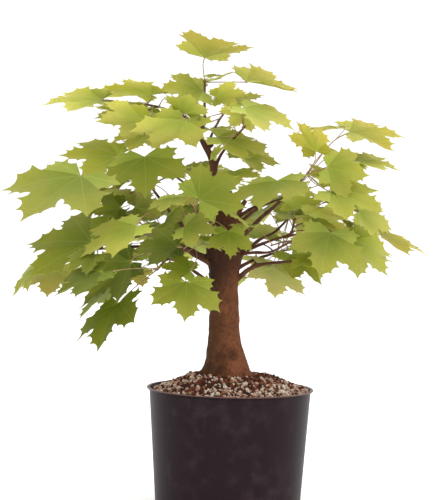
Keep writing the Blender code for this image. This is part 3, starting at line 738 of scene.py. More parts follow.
def bark_finish(settings):
    paint = Paint("bark", {"Specular IOR Level": 0.22})
    side, height = paint.side_and_height()
    streaks = paint.mottle(0.0034, 6.0, (1.0, 1.0, 0.85))
    patches = paint.mottle(0.018, 4.0, (1.0, 1.0, 0.6))
    furrows = 1.0 - paint.cracks(0.008, (1.0, 1.0, 0.30)).rise(0.0, 0.10)
    pores = paint.mottle(0.0021, 3.0, (1.0, 1.0, 1.6)).rise(0.60, 0.72)
    young = paint.mark("young")
    scar = paint.mark("scar")
    lower = paint.blend(patches.rise(0.36, 0.66), shaded(settings.ruddy, 0.74), settings.ruddy)
    lower = paint.blend(streaks.rise(0.45, 0.70) * 0.55, lower, shaded(settings.furrow, 1.3))
    lower = paint.blend(pores * 0.40, lower, shaded(settings.ruddy, 1.55))
    # Painted shade on the trunk's left side, in an olive tint, fading out across its middle.
    left_shade_share = 1.0 - (side + patches * 0.05).rise(-0.010, 0.038)
    lower = paint.blend(left_shade_share * 0.9, lower, settings.mossy)
    # Painted shade under the crown: the upper trunk darkens from about 325 mm up, reaching lower on
    # the left, and less so from about 372 mm up.
    crown_shade_share = (height + patches * 0.06 - side * 0.9).rise(0.325, 0.385)
    upper_shade_share = crown_shade_share * (1.0 - height.rise(0.372, 0.392) * 0.6)
    stem = paint.blend(upper_shade_share * 0.78, lower, shaded(settings.furrow, 1.05))
    stem = paint.blend(furrows * 0.14, stem, settings.furrow)
    bough = paint.blend(patches.rise(0.35, 0.65), shaded(settings.young, 0.65), settings.young)
    colour = paint.blend(young, stem, bough)
    paint.surface({
        "Base Color": paint.blend(scar * 0.55, colour, settings.furrow),
        "Roughness": 0.74 + streaks * 0.2 - young * 0.12,
    })
    paint.bump(streaks * 0.9 - furrows * 0.5 + paint.mottle(0.0012, 4.0) * 0.6, 0.0006)
    return paint.material


def young_bark(settings):
    paint = Paint("young_bark", {"Specular IOR Level": 0.35})
    spots = paint.mottle(0.0022, 3.0).rise(0.62, 0.72)
    green = paint.mottle(0.03, 2.0).rise(0.45, 0.62)
    base = paint.blend(green * 0.5, settings.young, tone(120, 98, 52))
    paint.surface({
        "Base Color": paint.blend(spots * 0.5, base, tone(150, 120, 90)),
        "Roughness": 0.52 + spots * 0.2,
    })
    paint.bump(paint.mottle(0.0014, 3.0), 0.0002)
    return paint.material


def stalk_finish(settings):
    paint = Paint("leaf_stalk", {"Specular IOR Level": 0.4})
    blush = paint.mottle(0.035, 2.0).rise(0.42, 0.62)
    paint.surface({
        "Base Color": paint.blend(blush * 0.65, settings.stalk, tone(152, 100, 74)),
        "Roughness": 0.42 + blush * 0.12,
    })
    paint.bump(paint.mottle(0.0012, 2.0), 0.0001)
    return paint.material


def leaf_finish(name, colour, settings):
    paint = Paint(name, {
        "Specular IOR Level": 0.15,
        "Subsurface Weight": 0.7,
        "Subsurface Radius": (1.0, 1.0, 0.45),
        "Subsurface Scale": 0.0022,
    })
    clouds = paint.mottle(0.030, 3.0)
    flecks = paint.mottle(0.0035, 4.0)
    vein = 1.0 - paint.mark("off_vein").rise(0.003, 0.013)
    rib = 1.0 - paint.mark("off_rib").rise(0.001, 0.010)
    outer = (paint.mark("far") + clouds * 0.5).rise(0.35, 1.15)
    heart = tinted(colour, (0.72, 0.84, 0.66))
    margin = tinted(colour, (1.16, 1.10, 1.20))
    soft = paint.blend(outer, heart, margin)
    flecked = paint.blend(flecks.rise(0.45, 0.75) * 0.2, soft, shaded(colour, 0.75))
    pale = paint.blend(0.30, shaded(colour, 1.25), settings.vein)
    ribbed = paint.blend(rib * 0.12, flecked, pale)
    paint.surface({
        "Base Color": paint.blend(vein * 0.32, ribbed, pale),
        "Roughness": 0.56 + flecks * 0.2,
    })
    paint.bump(flecks * 0.6 + paint.cracks(0.0034) * 0.6 - vein * 0.8 - rib * 0.4, 0.00035)
    return paint.material


def bud_finish():
    paint = Paint("bud_scales", {"Specular IOR Level": 0.45})
    scales = paint.mottle(0.0024, 3.0)
    paint.surface({
        "Base Color": paint.blend(scales, tone(96, 46, 34), tone(150, 88, 56)),
        "Roughness": 0.4 + scales * 0.2,
    })
    paint.bump(scales, 0.0002)
    return paint.material


def pick(*pieces):
    """Select these alone, the last of them active."""
    bpy.ops.object.select_all(action="DESELECT")
    for piece in pieces:
        piece.select_set(True)
    bpy.context.view_layer.objects.active = pieces[-1]


def modify(piece, kind, **settings):
    """Put a modifier on a piece and apply it."""
    pick(piece)
    added = piece.modifiers.new(kind.lower(), kind)
    for key, value in settings.items():
        setattr(added, key, value)
    bpy.ops.object.modifier_apply(modifier=added.name)


def join(pieces, name):
    pick(*pieces)
    if len(pieces) > 1:
        bpy.ops.object.join()
    joined = bpy.context.view_layer.objects.active
    joined.name = name
    joined.data.name = name
    return joined


def mesh_piece(name, corners, faces, finishes=()):
    mesh = bpy.data.meshes.new(name)
    mesh.from_pydata(corners, [], faces)
    for finish in finishes:
        mesh.materials.append(finish)
    made = bpy.data.objects.new(name, mesh)
    bpy.context.collection.objects.link(made)
    return made


def shape_of(piece):
    """A piece's corners, and the corner numbers of each of its faces."""
    corners = [vertex.co.copy() for vertex in piece.data.vertices]
    return corners, [tuple(face.vertices) for face in piece.data.polygons]


def use_up(piece):
    """The shape of a piece, which is then removed."""
    shape = shape_of(piece)
    bpy.data.objects.remove(piece, do_unlink=True)
    return shape


def lay_in(heap, corners, faces):
    """Add a shape to a heap of them: its list of corners and its list of faces."""
    first = len(heap[0])
    heap[0].extend(corners)
    heap[1].extend(tuple(first + corner for corner in face) for face in faces)


def mark_corners(piece, marks):
    """Store a number for each corner, under each mark's name, for the finish."""
    for name, values in marks.items():
        stored = piece.data.attributes.new(name, "FLOAT", "POINT")
        stored.data.foreach_set("value", values)


def tree_of(piece):
    return BVHTree.FromPolygons(*shape_of(piece))


def soften(piece, degrees):
    pick(piece)
    bpy.ops.object.shade_smooth_by_angle(angle=math.radians(degrees))


def hand_over(piece, nodes):
    """Seat a finished piece on the frame, in place of its nodes."""
    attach(piece, "root")
    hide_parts(*nodes)


def in_edit_mode(piece):
    """Go to edit mode with all of a piece selected."""
    pick(piece)
    bpy.ops.object.mode_set(mode="EDIT")
    bpy.ops.mesh.select_all(action="SELECT")


def close_outwards():
    """In edit mode, point every face outwards, then go back to object mode."""
    bpy.ops.mesh.select_all(action="SELECT")
    bpy.ops.mesh.normals_make_consistent(inside=False)
    bpy.ops.object.mode_set(mode="OBJECT")


def open_ring(name, sides, radius, height):
    """A level ring, selected in edit mode, to be extruded on."""
    bpy.ops.mesh.primitive_circle_add(vertices=sides, radius=radius, location=(0.0, 0.0, height))
    piece = join([bpy.context.object], name)
    bpy.ops.object.transform_apply(location=True)
    in_edit_mode(piece)
    return piece


def select_ring(piece, height, radius):
    """In edit mode, select the edges of one level ring and nothing else."""
    bpy.ops.mesh.select_all(action="DESELECT")
    bpy.ops.object.mode_set(mode="OBJECT")
    for vertex in piece.data.vertices:
        out = math.hypot(vertex.co.x, vertex.co.y)
        vertex.select = abs(vertex.co.z - height) < ON_RING and abs(out - radius) < ON_RING
    bpy.ops.object.mode_set(mode="EDIT")


def grow_rings(rings):
    """Extrude the selected ring through (radius, height) places."""
    for (radius, height), (next_radius, next_height) in zip(rings, rings[1:]):
        bpy.ops.mesh.extrude_region_move(
            TRANSFORM_OT_translate={"value": (0.0, 0.0, next_height - height)})
        bpy.ops.transform.resize(value=(next_radius / radius, next_radius / radius, 1.0),
                                 center_override=(0.0, 0.0, next_height))


def arc(centre, radius, start, end, steps):
    """(radius, height) places along an arc; angles in degrees from straight outwards."""
    turns = [math.radians(start + (end - start) * i / steps) for i in range(steps + 1)]
    return [(centre[0] + radius * math.cos(turn), centre[1] + radius * math.sin(turn))
            for turn in turns]


def pot_radius(height):
    """Outer radius of the pot's tapered wall."""
    neck = RIM_HEIGHT - POT_NECK_DROP
    return POT_FOOT_RADIUS + (POT_NECK_RADIUS - POT_FOOT_RADIUS) * height / neck


def pot_profile(lip):
    """(radius, height) from the underside, up the wall, over the lip and down inside."""
    neck = RIM_HEIGHT - POT_NECK_DROP
    rounding = POT_FOOT_ROUNDING
    heights = [rounding + (neck - rounding) * i / POT_WALL_STEPS for i in range(POT_WALL_STEPS + 1)]
    outside = [(pot_radius(height), height) for height in heights]
    foot = arc((POT_FOOT_RADIUS - rounding, rounding), rounding, -90.0, 0.0, 5)[:-1]
    under_lip = [(POT_NECK_RADIUS + 0.0009, neck + 0.0004),
                 (RIM_RADIUS - lip, RIM_HEIGHT - 2.0 * lip)]
    edge = arc((RIM_RADIUS - lip, RIM_HEIGHT - lip), lip, -80.0, 90.0, 7)
    inside = [(RIM_RADIUS - 2.0 * POT_WALL, RIM_HEIGHT - 0.0004),
              (POT_NECK_RADIUS - POT_WALL, neck - 0.001),
              (pot_radius(POT_FLOOR) - POT_WALL, POT_FLOOR)]
    return foot + outside + under_lip + edge + inside


def cut_drain_slots(pot):
    cutters = []
    for slot in range(DRAIN_SLOTS):
        angle = math.pi + DRAIN_TURN + slot * 2.0 * math.pi / DRAIN_SLOTS
        outward = Vector((math.cos(angle), math.sin(angle), 0.0)) * POT_FOOT_RADIUS
        bpy.ops.mesh.primitive_cube_add(size=1.0, location=(*outward.xy, 0.0),
                                        rotation=(0.0, 0.0, angle))
        cutter = bpy.context.object
        cutter.scale = (2.0 * DRAIN_DEPTH, DRAIN_WIDTH, 2.0 * DRAIN_HEIGHT)
        bpy.ops.object.transform_apply(location=True, rotation=True, scale=True)
        modify(cutter, "BEVEL", width=DRAIN_ROUNDING, segments=3, limit_method="ANGLE")
        cutters.append(cutter)
    cutter = join(cutters, "drain_cutter")
    modify(pot, "BOOLEAN", operation="DIFFERENCE", object=cutter, solver="EXACT")
    bpy.data.objects.remove(cutter, do_unlink=True)


def build_pot(settings):
    rings = pot_profile(settings.lip_radius)
    radius, height = rings[0]
    pot = open_ring("nursery_pot", settings.sides, radius, height)
    grow_rings(rings)
    bpy.ops.mesh.edge_face_add()
    select_ring(pot, height, radius)
    bpy.ops.mesh.edge_face_add()
    close_outwards()
    cut_drain_slots(pot)
    pot.data.materials.clear()
    pot.data.materials.append(pot_plastic(settings))
    pot.data.materials.append(pot_lip(settings))
    # Faces on the top and outside of the lip take the lip's finish: a painted highlight with wear.
    for face in pot.data.polygons:
        high = face.center.z > RIM_HEIGHT - 1.1 * settings.lip_radius
        far_out = math.hypot(face.center.x, face.center.y) > RIM_RADIUS - 2.4 * POT_WALL
        face.material_index = int(high and far_out)
    soften(pot, 40.0)
    hand_over(pot, ["pot"])


def drop_on(tree, x, y, above=0.3):
    """Height of the highest surface under a place, or None past its edge."""
    found = tree.ray_cast(Vector((x, y, above)), Vector((0.0, 0.0, -1.0)))[0]
    return found.z if found is not None else None


def lumps(place, size, depth, octaves):
    """Rough relief at a place: lumps of about a size, up to a depth."""
    return depth * noise.fractal(place / size, 1.0, 2.0, octaves)


def build_soil(settings):
    ground = tree_of(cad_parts["soil"])
    edge = pot_radius(SOIL_LEVEL) - POT_WALL - SOIL_CLEARANCE
    soil = open_ring("potting_mix", SOIL_SIDES, edge, SOIL_LEVEL)
    grow_rings([(edge - SOIL_RING_STEP * i, SOIL_LEVEL) for i in range(int(edge / SOIL_RING_STEP))])
    bpy.ops.mesh.merge(type="CENTER")
    select_ring(soil, SOIL_LEVEL, edge)
    grow_rings([(edge, SOIL_LEVEL), (edge - SKIRT_INSET, SOIL_LEVEL - SKIRT_DROP)])
    bpy.ops.mesh.edge_face_add()
    close_outwards()
    for vertex in soil.data.vertices:
        place = vertex.co
        if place.z < SOIL_LEVEL - 0.5 * SKIRT_DROP:
            continue
        found = drop_on(ground, place.x * GROUND_INSET, place.y * GROUND_INSET)
        # None from BANK_FULL inwards, rising to full at the edge, and more on the left than on the
        # right.
        outwards = smoothstep(BANK_FULL, edge, place.to_2d().length)
        banked = settings.banked * outwards * (1.0 - place.x / edge)
        hollow = settings.hollow * math.exp(-((place.x - HOLLOW_X) / HOLLOW_WIDTH) ** 2)
        rough = lumps(place, SOIL_LUMPS, settings.relief, 4)
        place.z = (found or SOIL_LEVEL) + banked - hollow + rough
    soil.data.materials.append(earth_mix(settings))
    soften(soil, 180.0)
    hand_over(soil, ["soil"])


def grain_shapes(dice):
    """A few crushed grains of unit size, each a cut cube knocked out of true."""
    shapes = []
    for _ in range(GRAIN_SHAPES):
        bpy.ops.mesh.primitive_cube_add(size=1.0)
        grain = bpy.context.object
        in_edit_mode(grain)
        bpy.ops.mesh.subdivide(number_cuts=1, smoothness=0.55)
        bpy.ops.object.mode_set(mode="OBJECT")
        corners, faces = use_up(grain)
        for corner in corners:
            corner *= dice.uniform(*GRAIN_KNOCKS)
            corner.y *= GRAIN_SQUARE
            corner.z *= GRAIN_FLAT
        shapes.append((corners, faces))
    return shapes


def lay_grains(settings, ground, dice):
    """Places for the grains: large ones first, each clear of those laid before."""
    cell = settings.largest
    taken = {}
    laid = []
    for number in range(settings.grains):
        angle = dice.uniform(0.0, 2.0 * math.pi)
        far = math.sqrt(dice.random()) * (POT_NECK_RADIUS - GRAIN_WALL_GAP)
        x, y = far * math.cos(angle), far * math.sin(angle)
        coarse = (1.0 - number / settings.grains) ** COARSE_FIRST
        spread = settings.largest - settings.smallest
        size = settings.smallest + spread * coarse * dice.uniform(*GRAIN_SPREAD)
        if math.hypot(x - TRUNK_FOOT[0], y - TRUNK_FOOT[1]) < TRUNK_FOOT[2] + TRUNK_GAP * size:
            continue
        key = (int(x // cell), int(y // cell))
        near = [other for dx in (-1, 0, 1) for dy in (-1, 0, 1)
                for other in taken.get((key[0] + dx, key[1] + dy), ())]
        if any(math.hypot(x - other_x, y - other_y) < GRAIN_OVERLAP * (size + other_size)
               for other_x, other_y, other_size in near):
            continue
        height = drop_on(ground, x, y)
        if height is None:
            continue
        taken.setdefault(key, []).append((x, y, size))
        laid.append((Vector((x, y, height + size * dice.uniform(*GRAIN_SUNK))), size))
    return laid


def grain_kind(place, dice):
    """Pale grit lies in drifts, thicker towards the rim and thin to the trunk's right."""
    share = min(1.0, max(0.0, (math.hypot(place.x, place.y) - DRIFT_START) / DRIFT_RUN))
    drift = 0.5 + 1.1 * noise.noise(place / DRIFT_SIZE) - 3.5 * max(0.0, place.x) * (1.0 - share)
    pale = min(1.0, max(0.04, 0.55 * share + 0.45 * drift))
    weights = [common * (1.7 * pale if name in PALE_GRIT else 2.0 - 1.8 * pale)
               for name, _, common in GRAIN_KINDS]
    return dice.choices(range(len(GRAIN_KINDS)), weights)[0]


def build_grains(settings):
    dice = random.Random(GRAIN_SEED)
    ground = tree_of(bpy.data.objects["potting_mix"])
    shapes = grain_shapes(dice)
    heaps = [([], []) for _ in GRAIN_KINDS]
    for place, size in lay_grains(settings, ground, dice):
        heap = heaps[grain_kind(place, dice)]
        corners, faces = dice.choice(shapes)
        angle = dice.uniform(0.0, 6.28)
        axis = Vector([dice.uniform(-1, 1) for _ in range(3)]).normalized()
        turn = Matrix.Rotation(angle, 3, axis)
        lay_in(heap, [place + turn @ corner * size for corner in corners], faces)
    for (name, colour, _), heap in zip(GRAIN_KINDS, heaps):
        piece = mesh_piece(name, *heap, [grit(name, colour)])
        soften(piece, 32.0)
        hand_over(piece, ["soil"])


def smooth_route(corners, step):
    """Points along a smooth curve through the corners, about one step apart."""
    ends = [corners[0] * 2.0 - corners[1], *corners, corners[-1] * 2.0 - corners[-2]]
    route = []
    for before, start, end, after in zip(ends, ends[1:], ends[2:], ends[3:]):
        pieces = max(1, round((end - start).length / step))
        for piece in range(pieces):
            t = piece / pieces
            route.append(0.5 * (2.0 * start + (end - before) * t
                                + (2.0 * before - 5.0 * start + 4.0 * end - after) * t * t
                                + (3.0 * start - before - 3.0 * end + after) * t ** 3))
    return route + [corners[-1]]


def limb_route(name, step):
    return smooth_route([Vector(corner) * MM for corner in LIMBS[name][2]], step)


def rods(name, runs, sides, finish=None):
    """One mesh of round rods, from (route, radii) runs, with their ends capped."""
    curve = bpy.data.curves.new(name, "CURVE")
    curve.dimensions = "3D"
    curve.bevel_depth = 1.0
    curve.bevel_resolution = max(0, sides // 2 - 2)
    curve.use_fill_caps = True
    for route, radii in runs:
        spline = curve.splines.new("POLY")
        spline.points.add(len(route) - 1)
        for point, place, radius in zip(spline.points, route, radii):
            point.co = (*place, 1.0)
            point.radius = radius
    made = bpy.data.objects.new(name, curve)
    bpy.context.collection.objects.link(made)
    pick(made)
    bpy.ops.object.convert(target="MESH")
    in_edit_mode(made)
    bpy.ops.mesh.remove_doubles(threshold=WELD)
    close_outwards()
    if finish is not None:
        made.data.materials.append(finish)
    return made


def knuckled(route, base, tip, collar):
    """Radii along a limb: a collar at its foot, an even taper and swellings at its nodes."""
    radii, run = [], 0.0
    for index, place in enumerate(route):
        if index:
            run += (place - route[index - 1]).length
        even = base + (tip - base) * index / (len(route) - 1)
        swelling = NODE_SWELLING * math.exp(-((run % NODE_SPACING) / NODE_LENGTH) ** 2)
        radii.append(even * MM * (1.0 + swelling + collar * math.exp(-run / COLLAR_RUN)))
    return radii


def smoothstep(value, low, high):
    share = min(1.0, max(0.0, (value - low) / (high - low)))
    return share * share * (3.0 - 2.0 * share)


def knots_at(place):
    """For each knot near a place: how far it swells out there, and how scarred it is."""
    for centre, radius, swelling in KNOTS:
        gap = (place - Vector(centre) * MM).length / (radius * MM)
        gap += KNOT_RAGGED * noise.noise(place / (0.55 * radius * MM))
        if gap < KNOT_REACH:
            ring = math.exp(-((gap - 0.75) / 0.35) ** 2)
            pit = 0.5 * math.exp(-(gap / 0.4) ** 2)
            yield swelling * MM * (ring - pit), 1.0 - smoothstep(gap, 0.45, 1.1)


def carve_bark(wood, settings):
    """Give the wood its relief, and mark young bark and scars for the finish."""
    trunk = tree_of(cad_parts["trunk"])
    young, scar = [], []
    normals = [vertex.normal.copy() for vertex in wood.data.vertices]
    for vertex, normal in zip(wood.data.vertices, normals):
        place = vertex.co
        away = (trunk.find_nearest(place)[0] - place).length
        youth = smoothstep(away, YOUNG_FROM, YOUNG_ALL)
        depth = settings.relief * (1.0 - YOUNG_SMOOTHNESS * youth)
        upright = Vector((place.x, place.y, place.z * BARK_UPRIGHT))
        rise = lumps(upright, BARK_LUMPS, depth, 4) + lumps(place, BARK_SWELLS, 1.3 * depth, 2)
        worst = 0.0
        for swollen, scarred in knots_at(place):
            rise += swollen
            worst = max(worst, scarred)
        place += normal * rise
        young.append(youth)
        scar.append(worst)
    mark_corners(wood, {"young": young, "scar": scar})


def build_wood(settings):
    trunk = bpy.data.objects.new("wood_trunk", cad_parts["trunk"].data.copy())
    bpy.context.collection.objects.link(trunk)
    in_edit_mode(trunk)
    bpy.ops.mesh.remove_doubles(threshold=WELD)
    bpy.ops.mesh.tris_convert_to_quads()
    bpy.ops.object.mode_set(mode="OBJECT")
    modify(trunk, "BEVEL", width=0.0022, segments=3, limit_method="ANGLE",
           angle_limit=math.radians(50.0))
    modify(trunk, "SUBSURF", levels=2, render_levels=2)
    runs = []
    for name, (base, tip, _) in LIMBS.items():
        route = limb_route(name, LIMB_STEP)
        runs.append((route, knuckled(route, base, tip, 0.0 if name == "leader" else LIMB_COLLAR)))
    for foot, end, base, tip in STUBS:
        route = smooth_route([Vector(foot) * MM, Vector(end) * MM], STUB_STEP)
        runs.append((route, knuckled(route, base, tip, STUB_COLLAR)))
    wood = join([rods("wood_limbs", runs, LIMB_SIDES), trunk], "trunk_and_boughs")
    modify(wood, "REMESH", mode="VOXEL", voxel_size=settings.fineness)
    modify(wood, "SMOOTH", factor=0.5, iterations=3)
    carve_bark(wood, settings)
    wood.data.materials.clear()
    wood.data.materials.append(bark_finish(settings))
    soften(wood, 180.0)
    hand_over(wood, ["trunk", *LIMBS])


def direction(heading, rise):
    level = math.cos(rise)
    return Vector((level * math.cos(heading), level * math.sin(heading), math.sin(rise)))


def blade_axes(heading, droop, bank):
    forward = direction(heading, -droop)
    left = UP.cross(forward).normalized()
    upward = forward.cross(left)
    side = left * math.cos(bank) + upward * math.sin(bank)
    return forward, side, forward.cross(side)


def bezier(p0, p1, p2, p3, t):
    s = 1.0 - t
    return p0 * s ** 3 + p1 * (3.0 * s * s * t) + p2 * (3.0 * s * t * t) + p3 * t ** 3


def rod_solid(route, radius):
    """The corners and sides of a square rod along a route."""
    corners, faces = [], []
    for start, end in zip(route, route[1:]):
        run = (end - start).normalized()
        across = run.orthogonal().normalized() * radius
        other = run.cross(across)
        first = len(corners)
        for place in (start, end):
            corners += [place + across, place + other, place - across, place - other]
        for turn in range(4):
            after = (turn + 1) % 4
            faces.append((first + turn, first + after, first + 4 + after, first + 4 + turn))
    return corners, faces


class Leaf:
    """One leaf: where its stalk leaves the stem, how its blade lies, and its tint."""

    def __init__(self, root, root_heading, joint, heading, droop, bank, width, bow=(0, 0),
                 fold=BLADE_FOLD):
        self.root = root
        self.joint = joint
        self.width = width
        self.fold = fold
        self.tint = "fresh"
        self.young = False
        self.axes = blade_axes(heading, droop, bank)
        forward, side, _ = self.axes
        reach = (joint - root).length
        lift = UP * (bow[1] * MM) + side * (bow[0] * MM)
        self.stalk = (
            root,
            root + root_heading * (STALK_EASE * reach) + lift,
            joint - forward * (STALK_EASE * reach) - UP * (STALK_DIP * reach) + lift,
            joint + forward * STALK_RUN_IN,
        )

    def stalk_route(self, pieces=STALK_PIECES):
        return [bezier(*self.stalk, i / pieces) for i in range(pieces + 1)]

    def blade_point(self, u, v, height, offset=0.0):
        forward, side, normal = self.axes
        scale = self.width / BLADE_SPAN
        return self.joint + (forward * u + side * v + normal * height) * scale + normal * offset

    def coarse_point(self, u, v, offset=0.0):
        return self.blade_point(u, v, self.fold * abs(v) - BLADE_SAG * (u * u + v * v), offset)

    def probe(self, sunk):
        """A fattened stand-in for the blade and the stalk, to test for touching."""
        outline = [(0.0, 0.0)] + [(u, -v) for u, v in reversed(HALF_BLADE[1:])] + list(HALF_BLADE)
        count = len(outline)
        corners, faces = [], []
        for offset in (BLADE_THICKNESS / 2.0 + TOUCH_MARGIN, -BLADE_THICKNESS / 2.0 - TOUCH_MARGIN):
            corners += [self.coarse_point(u, v, offset) for u, v in outline]
            corners.append(self.coarse_point(BLADE_HUB, 0.0, offset))
        below = count + 1
        for i in range(count):
            after = (i + 1) % count
            faces.append((count, i, after))
            faces.append((below + count, below + after, below + i))
            faces.append((i, below + i, below + after, after))
        route = self.stalk_route()
        route[0] = route[0] + (route[1] - route[0]).normalized() * sunk
        lay_in((corners, faces), *rod_solid(route, STALK_RADIUS + TOUCH_MARGIN))
        return BVHTree.FromPolygons(corners, faces)

    def corners(self):
        right = [(u, -v) for u, v in reversed(HALF_BLADE[1:])]
        return [self.coarse_point(u, v) for u, v in right + list(HALF_BLADE)]

    def fan(self):
        """The coarse blade as a fan of triangles round its hub."""
        corners = [self.coarse_point(BLADE_HUB, 0.0), self.joint, *self.corners()]
        count = len(corners) - 1
        return corners, [(0, 1 + i, 1 + (i + 1) % count) for i in range(count)]

    def blade(self, outline, settings, dice):
        """The blade's corners over a flat outline, with this leaf's own pleats and waves."""
        turns = [dice.uniform(0.0, 2.0 * math.pi) for _ in range(4)]
        wave = settings.wave * dice.uniform(*WAVE_SHARE)
        pleat = settings.pleat * dice.uniform(*PLEAT_SHARE)
        droop = dice.uniform(*TIP_DROOP)
        lean = dice.uniform(*TIP_LEAN)
        hollows = Vector((dice.uniform(0.0, 90.0), dice.uniform(0.0, 90.0), 0.0))
        corners = []
        for u, v in outline:
            far = math.hypot(u, v)
            turn = math.atan2(v, u)
            off_vein = min(abs(turn - vein) for vein in VEIN_TURNS)
            crest = 0.5 - 0.5 * math.cos(math.pi * min(1.0, off_vein / CREST_TURN))
            swell = (1.0 + OUTLINE_SWELLS[0] * math.sin(2.0 * turn + turns[0])
                     + OUTLINE_SWELLS[1] * math.sin(3.0 * turn + turns[1]))
            height = self.fold * abs(v) - (BLADE_SAG + droop * far) * far * far
            height += pleat * far * crest
            ripple = Vector((RIPPLE_FINENESS * u, RIPPLE_FINENESS * v, 0.0)) + hollows
            height += settings.ripple * far * noise.noise(ripple)
            height += wave * far * far * math.sin(3.0 * turn + turns[2])
            height += FINE_WAVE * wave * far ** 3 * math.sin(9.0 * turn + turns[3])
            corners.append(self.blade_point(u * swell, v * swell + lean * u * u, height))
        return corners


def in_crown(points):
    """True where every point keeps inside the crown's outline."""
    for point in points:
        z = point.z / MM
        if not CROWN[0][0] <= z <= CROWN[-1][0]:
            return False
        for low, high in zip(CROWN, CROWN[1:]):
            if z <= high[0]:
                share = (z - low[0]) / (high[0] - low[0])
                left = low[1] + (high[1] - low[1]) * share
                right = low[2] + (high[2] - low[2]) * share
                break
        middle = (left + right) / 2.0
        half = (right - left) / 2.0
        across = (point.x / MM - middle) / half
        if across ** 2 + (point.y / CROWN_DEPTH) ** 2 > 1.0:
            return False
    return True


def in_light_gap(point):
    """True where the point, seen by the eye, shows in one of the crown's gaps."""
    share = -EYE.y / (point.y - EYE.y)
    seen = EYE + (point - EYE) * share
    x, z = seen.x / MM, seen.z / MM
    return any(left < x < right and low < z < high for left, right, low, high in LIGHT_GAPS)


class Mass:
    """One mass of foliage: a stem on from its limb's tip, side shoots and leaves."""

    def __init__(self, name):
        carrier, (heading, rise, length), _, _ = MASSES[name]
        before, tip = limb_route(carrier, SOURCE_LIMB_STEP)[-2:]
        out = (tip - before).normalized()
        self.name = name
        self.tip = tip
        self.tip_radius = LIMBS[carrier][1] * MM
        self.heading = math.radians(heading)
        aim = direction(self.heading, math.radians(rise))
        start = tip + out * SEAT_GAP
        lead = start + out * TWIG_LEAD
        bend = lead + (out * TWIG_BEND[0] + aim * TWIG_BEND[1]) * length * MM
        end = lead + (out * TWIG_END[0] + aim * TWIG_END[1]) * length * MM
        self.stem = [start, *smooth_route([lead, bend, end], TWIG_STEP)]
        self.nodes = self.stem[2:]
        self.stem_tree = BVHTree.FromPolygons(*rod_solid(self.stem, TWIG_RADIUS + TOUCH_MARGIN))
        self.leaves = []
        self.shoots = []

    def nearest_node(self, joint):
        node = min(self.nodes, key=lambda place: (place - joint).length)
        return node, (joint - node).normalized()

    def add_if_clear(self, leaf, taken):
        """Keep the leaf unless it touches a limb, another stem or an earlier leaf."""
        within = leaf.probe(FORK_SUNK)
        beyond = leaf.probe(ROOT_SUNK)
        for owner, tree in taken:
            if tree is not self.stem_tree and (within if owner is self else beyond).overlap(tree):
                return False
        self.leaves.append(leaf)
        taken.append((self, beyond))
        return True


def place_lead_leaves(mass, taken):
    for tint, x, y, z, heading, droop, bank, width, *fold in MASSES[mass.name][2]:
        angles = [math.radians(angle) for angle in (heading, droop, bank)]
        for slide, bow in itertools.product(SLIDES, BOWS):
            joint = Vector((x, y + slide, z)) * MM
            node, toward = mass.nearest_node(joint)
            leaf = Leaf(node, toward, joint, *angles, width * MM, bow, *fold)
            leaf.tint = tint
            if mass.add_if_clear(leaf, taken):
                break


def spray_tint(joint, dice):
    """A deep tint low down and on the left, a light one high up and on the right: painted shade
    below and painted light above.
    """
    share = (joint.z / MM - SPRAY_FOOT) / SPRAY_HEIGHT + joint.x / MM / SPRAY_BREADTH
    share += dice.uniform(*SPRAY_STRAY)
    last = len(SPRAY_SHADE_TO_LIGHT) - 1
    return SPRAY_SHADE_TO_LIGHT[min(last, max(0, int(share * (last + 1))))]


def rule_leaf(mass, side, dice):
    """A leaf off a random node of the stem, held out to one side of the mass's heading."""
    node = dice.choice(mass.nodes)
    heading = mass.heading + side * RULE_SPREAD * dice.random()
    toward = direction(heading, math.radians(dice.uniform(*RULE_RISE)))
    joint = node + toward * dice.uniform(*RULE_STALK) * MM
    droop = math.radians(dice.uniform(*RULE_DROOP))
    bank = math.radians(dice.uniform(*RULE_BANK))
    width = dice.uniform(*RULE_WIDTH) * MM
    faced = heading + side * RULE_TWIST * dice.random()
    return Leaf(node, toward, joint, faced, droop, bank, width)


def grow_rule_leaves(mass, taken, dice):
    """Add leaves by turns to the two sides of the stem, where the crown has room."""
    for number in range(MASSES[mass.name][3]):
        for _ in range(RULE_TRIES):
            leaf = rule_leaf(mass, (-1, 1)[number % 2], dice)
            corners = leaf.corners()
            if not in_crown(corners) or any(in_light_gap(corner) for corner in corners):
                continue
            if mass.add_if_clear(leaf, taken):
                break


def in_the_shade_of(leaves, points):
    """True where every point lies behind a leaf, or in line with one, for the eye."""
    return all(leaves.ray_cast(EYE, (point - EYE).normalized())[0] is not None for point in points)


def young_pair(end, heading, screen, dice):
    """Up to two young leaves at a shoot's end: those that stay in the crown, unseen."""
    pair = []
    for side in (-1, 1):
        toward = direction(heading + side * dice.uniform(*YOUNG_SPREAD), dice.uniform(*YOUNG_RISE))
        joint = end + toward * dice.uniform(*YOUNG_STALK) * MM
        leaf = Leaf(end, toward, joint, heading + side * dice.uniform(*YOUNG_TWIST),
                    math.radians(dice.uniform(*YOUNG_DROOP)), dice.uniform(*YOUNG_BANK),
                    dice.uniform(*YOUNG_WIDTH) * MM)
        if in_crown(leaf.corners()) and in_the_shade_of(screen, leaf.corners()):
            leaf.tint = spray_tint(joint, dice)
            leaf.young = True
            pair.append(leaf)
    return pair


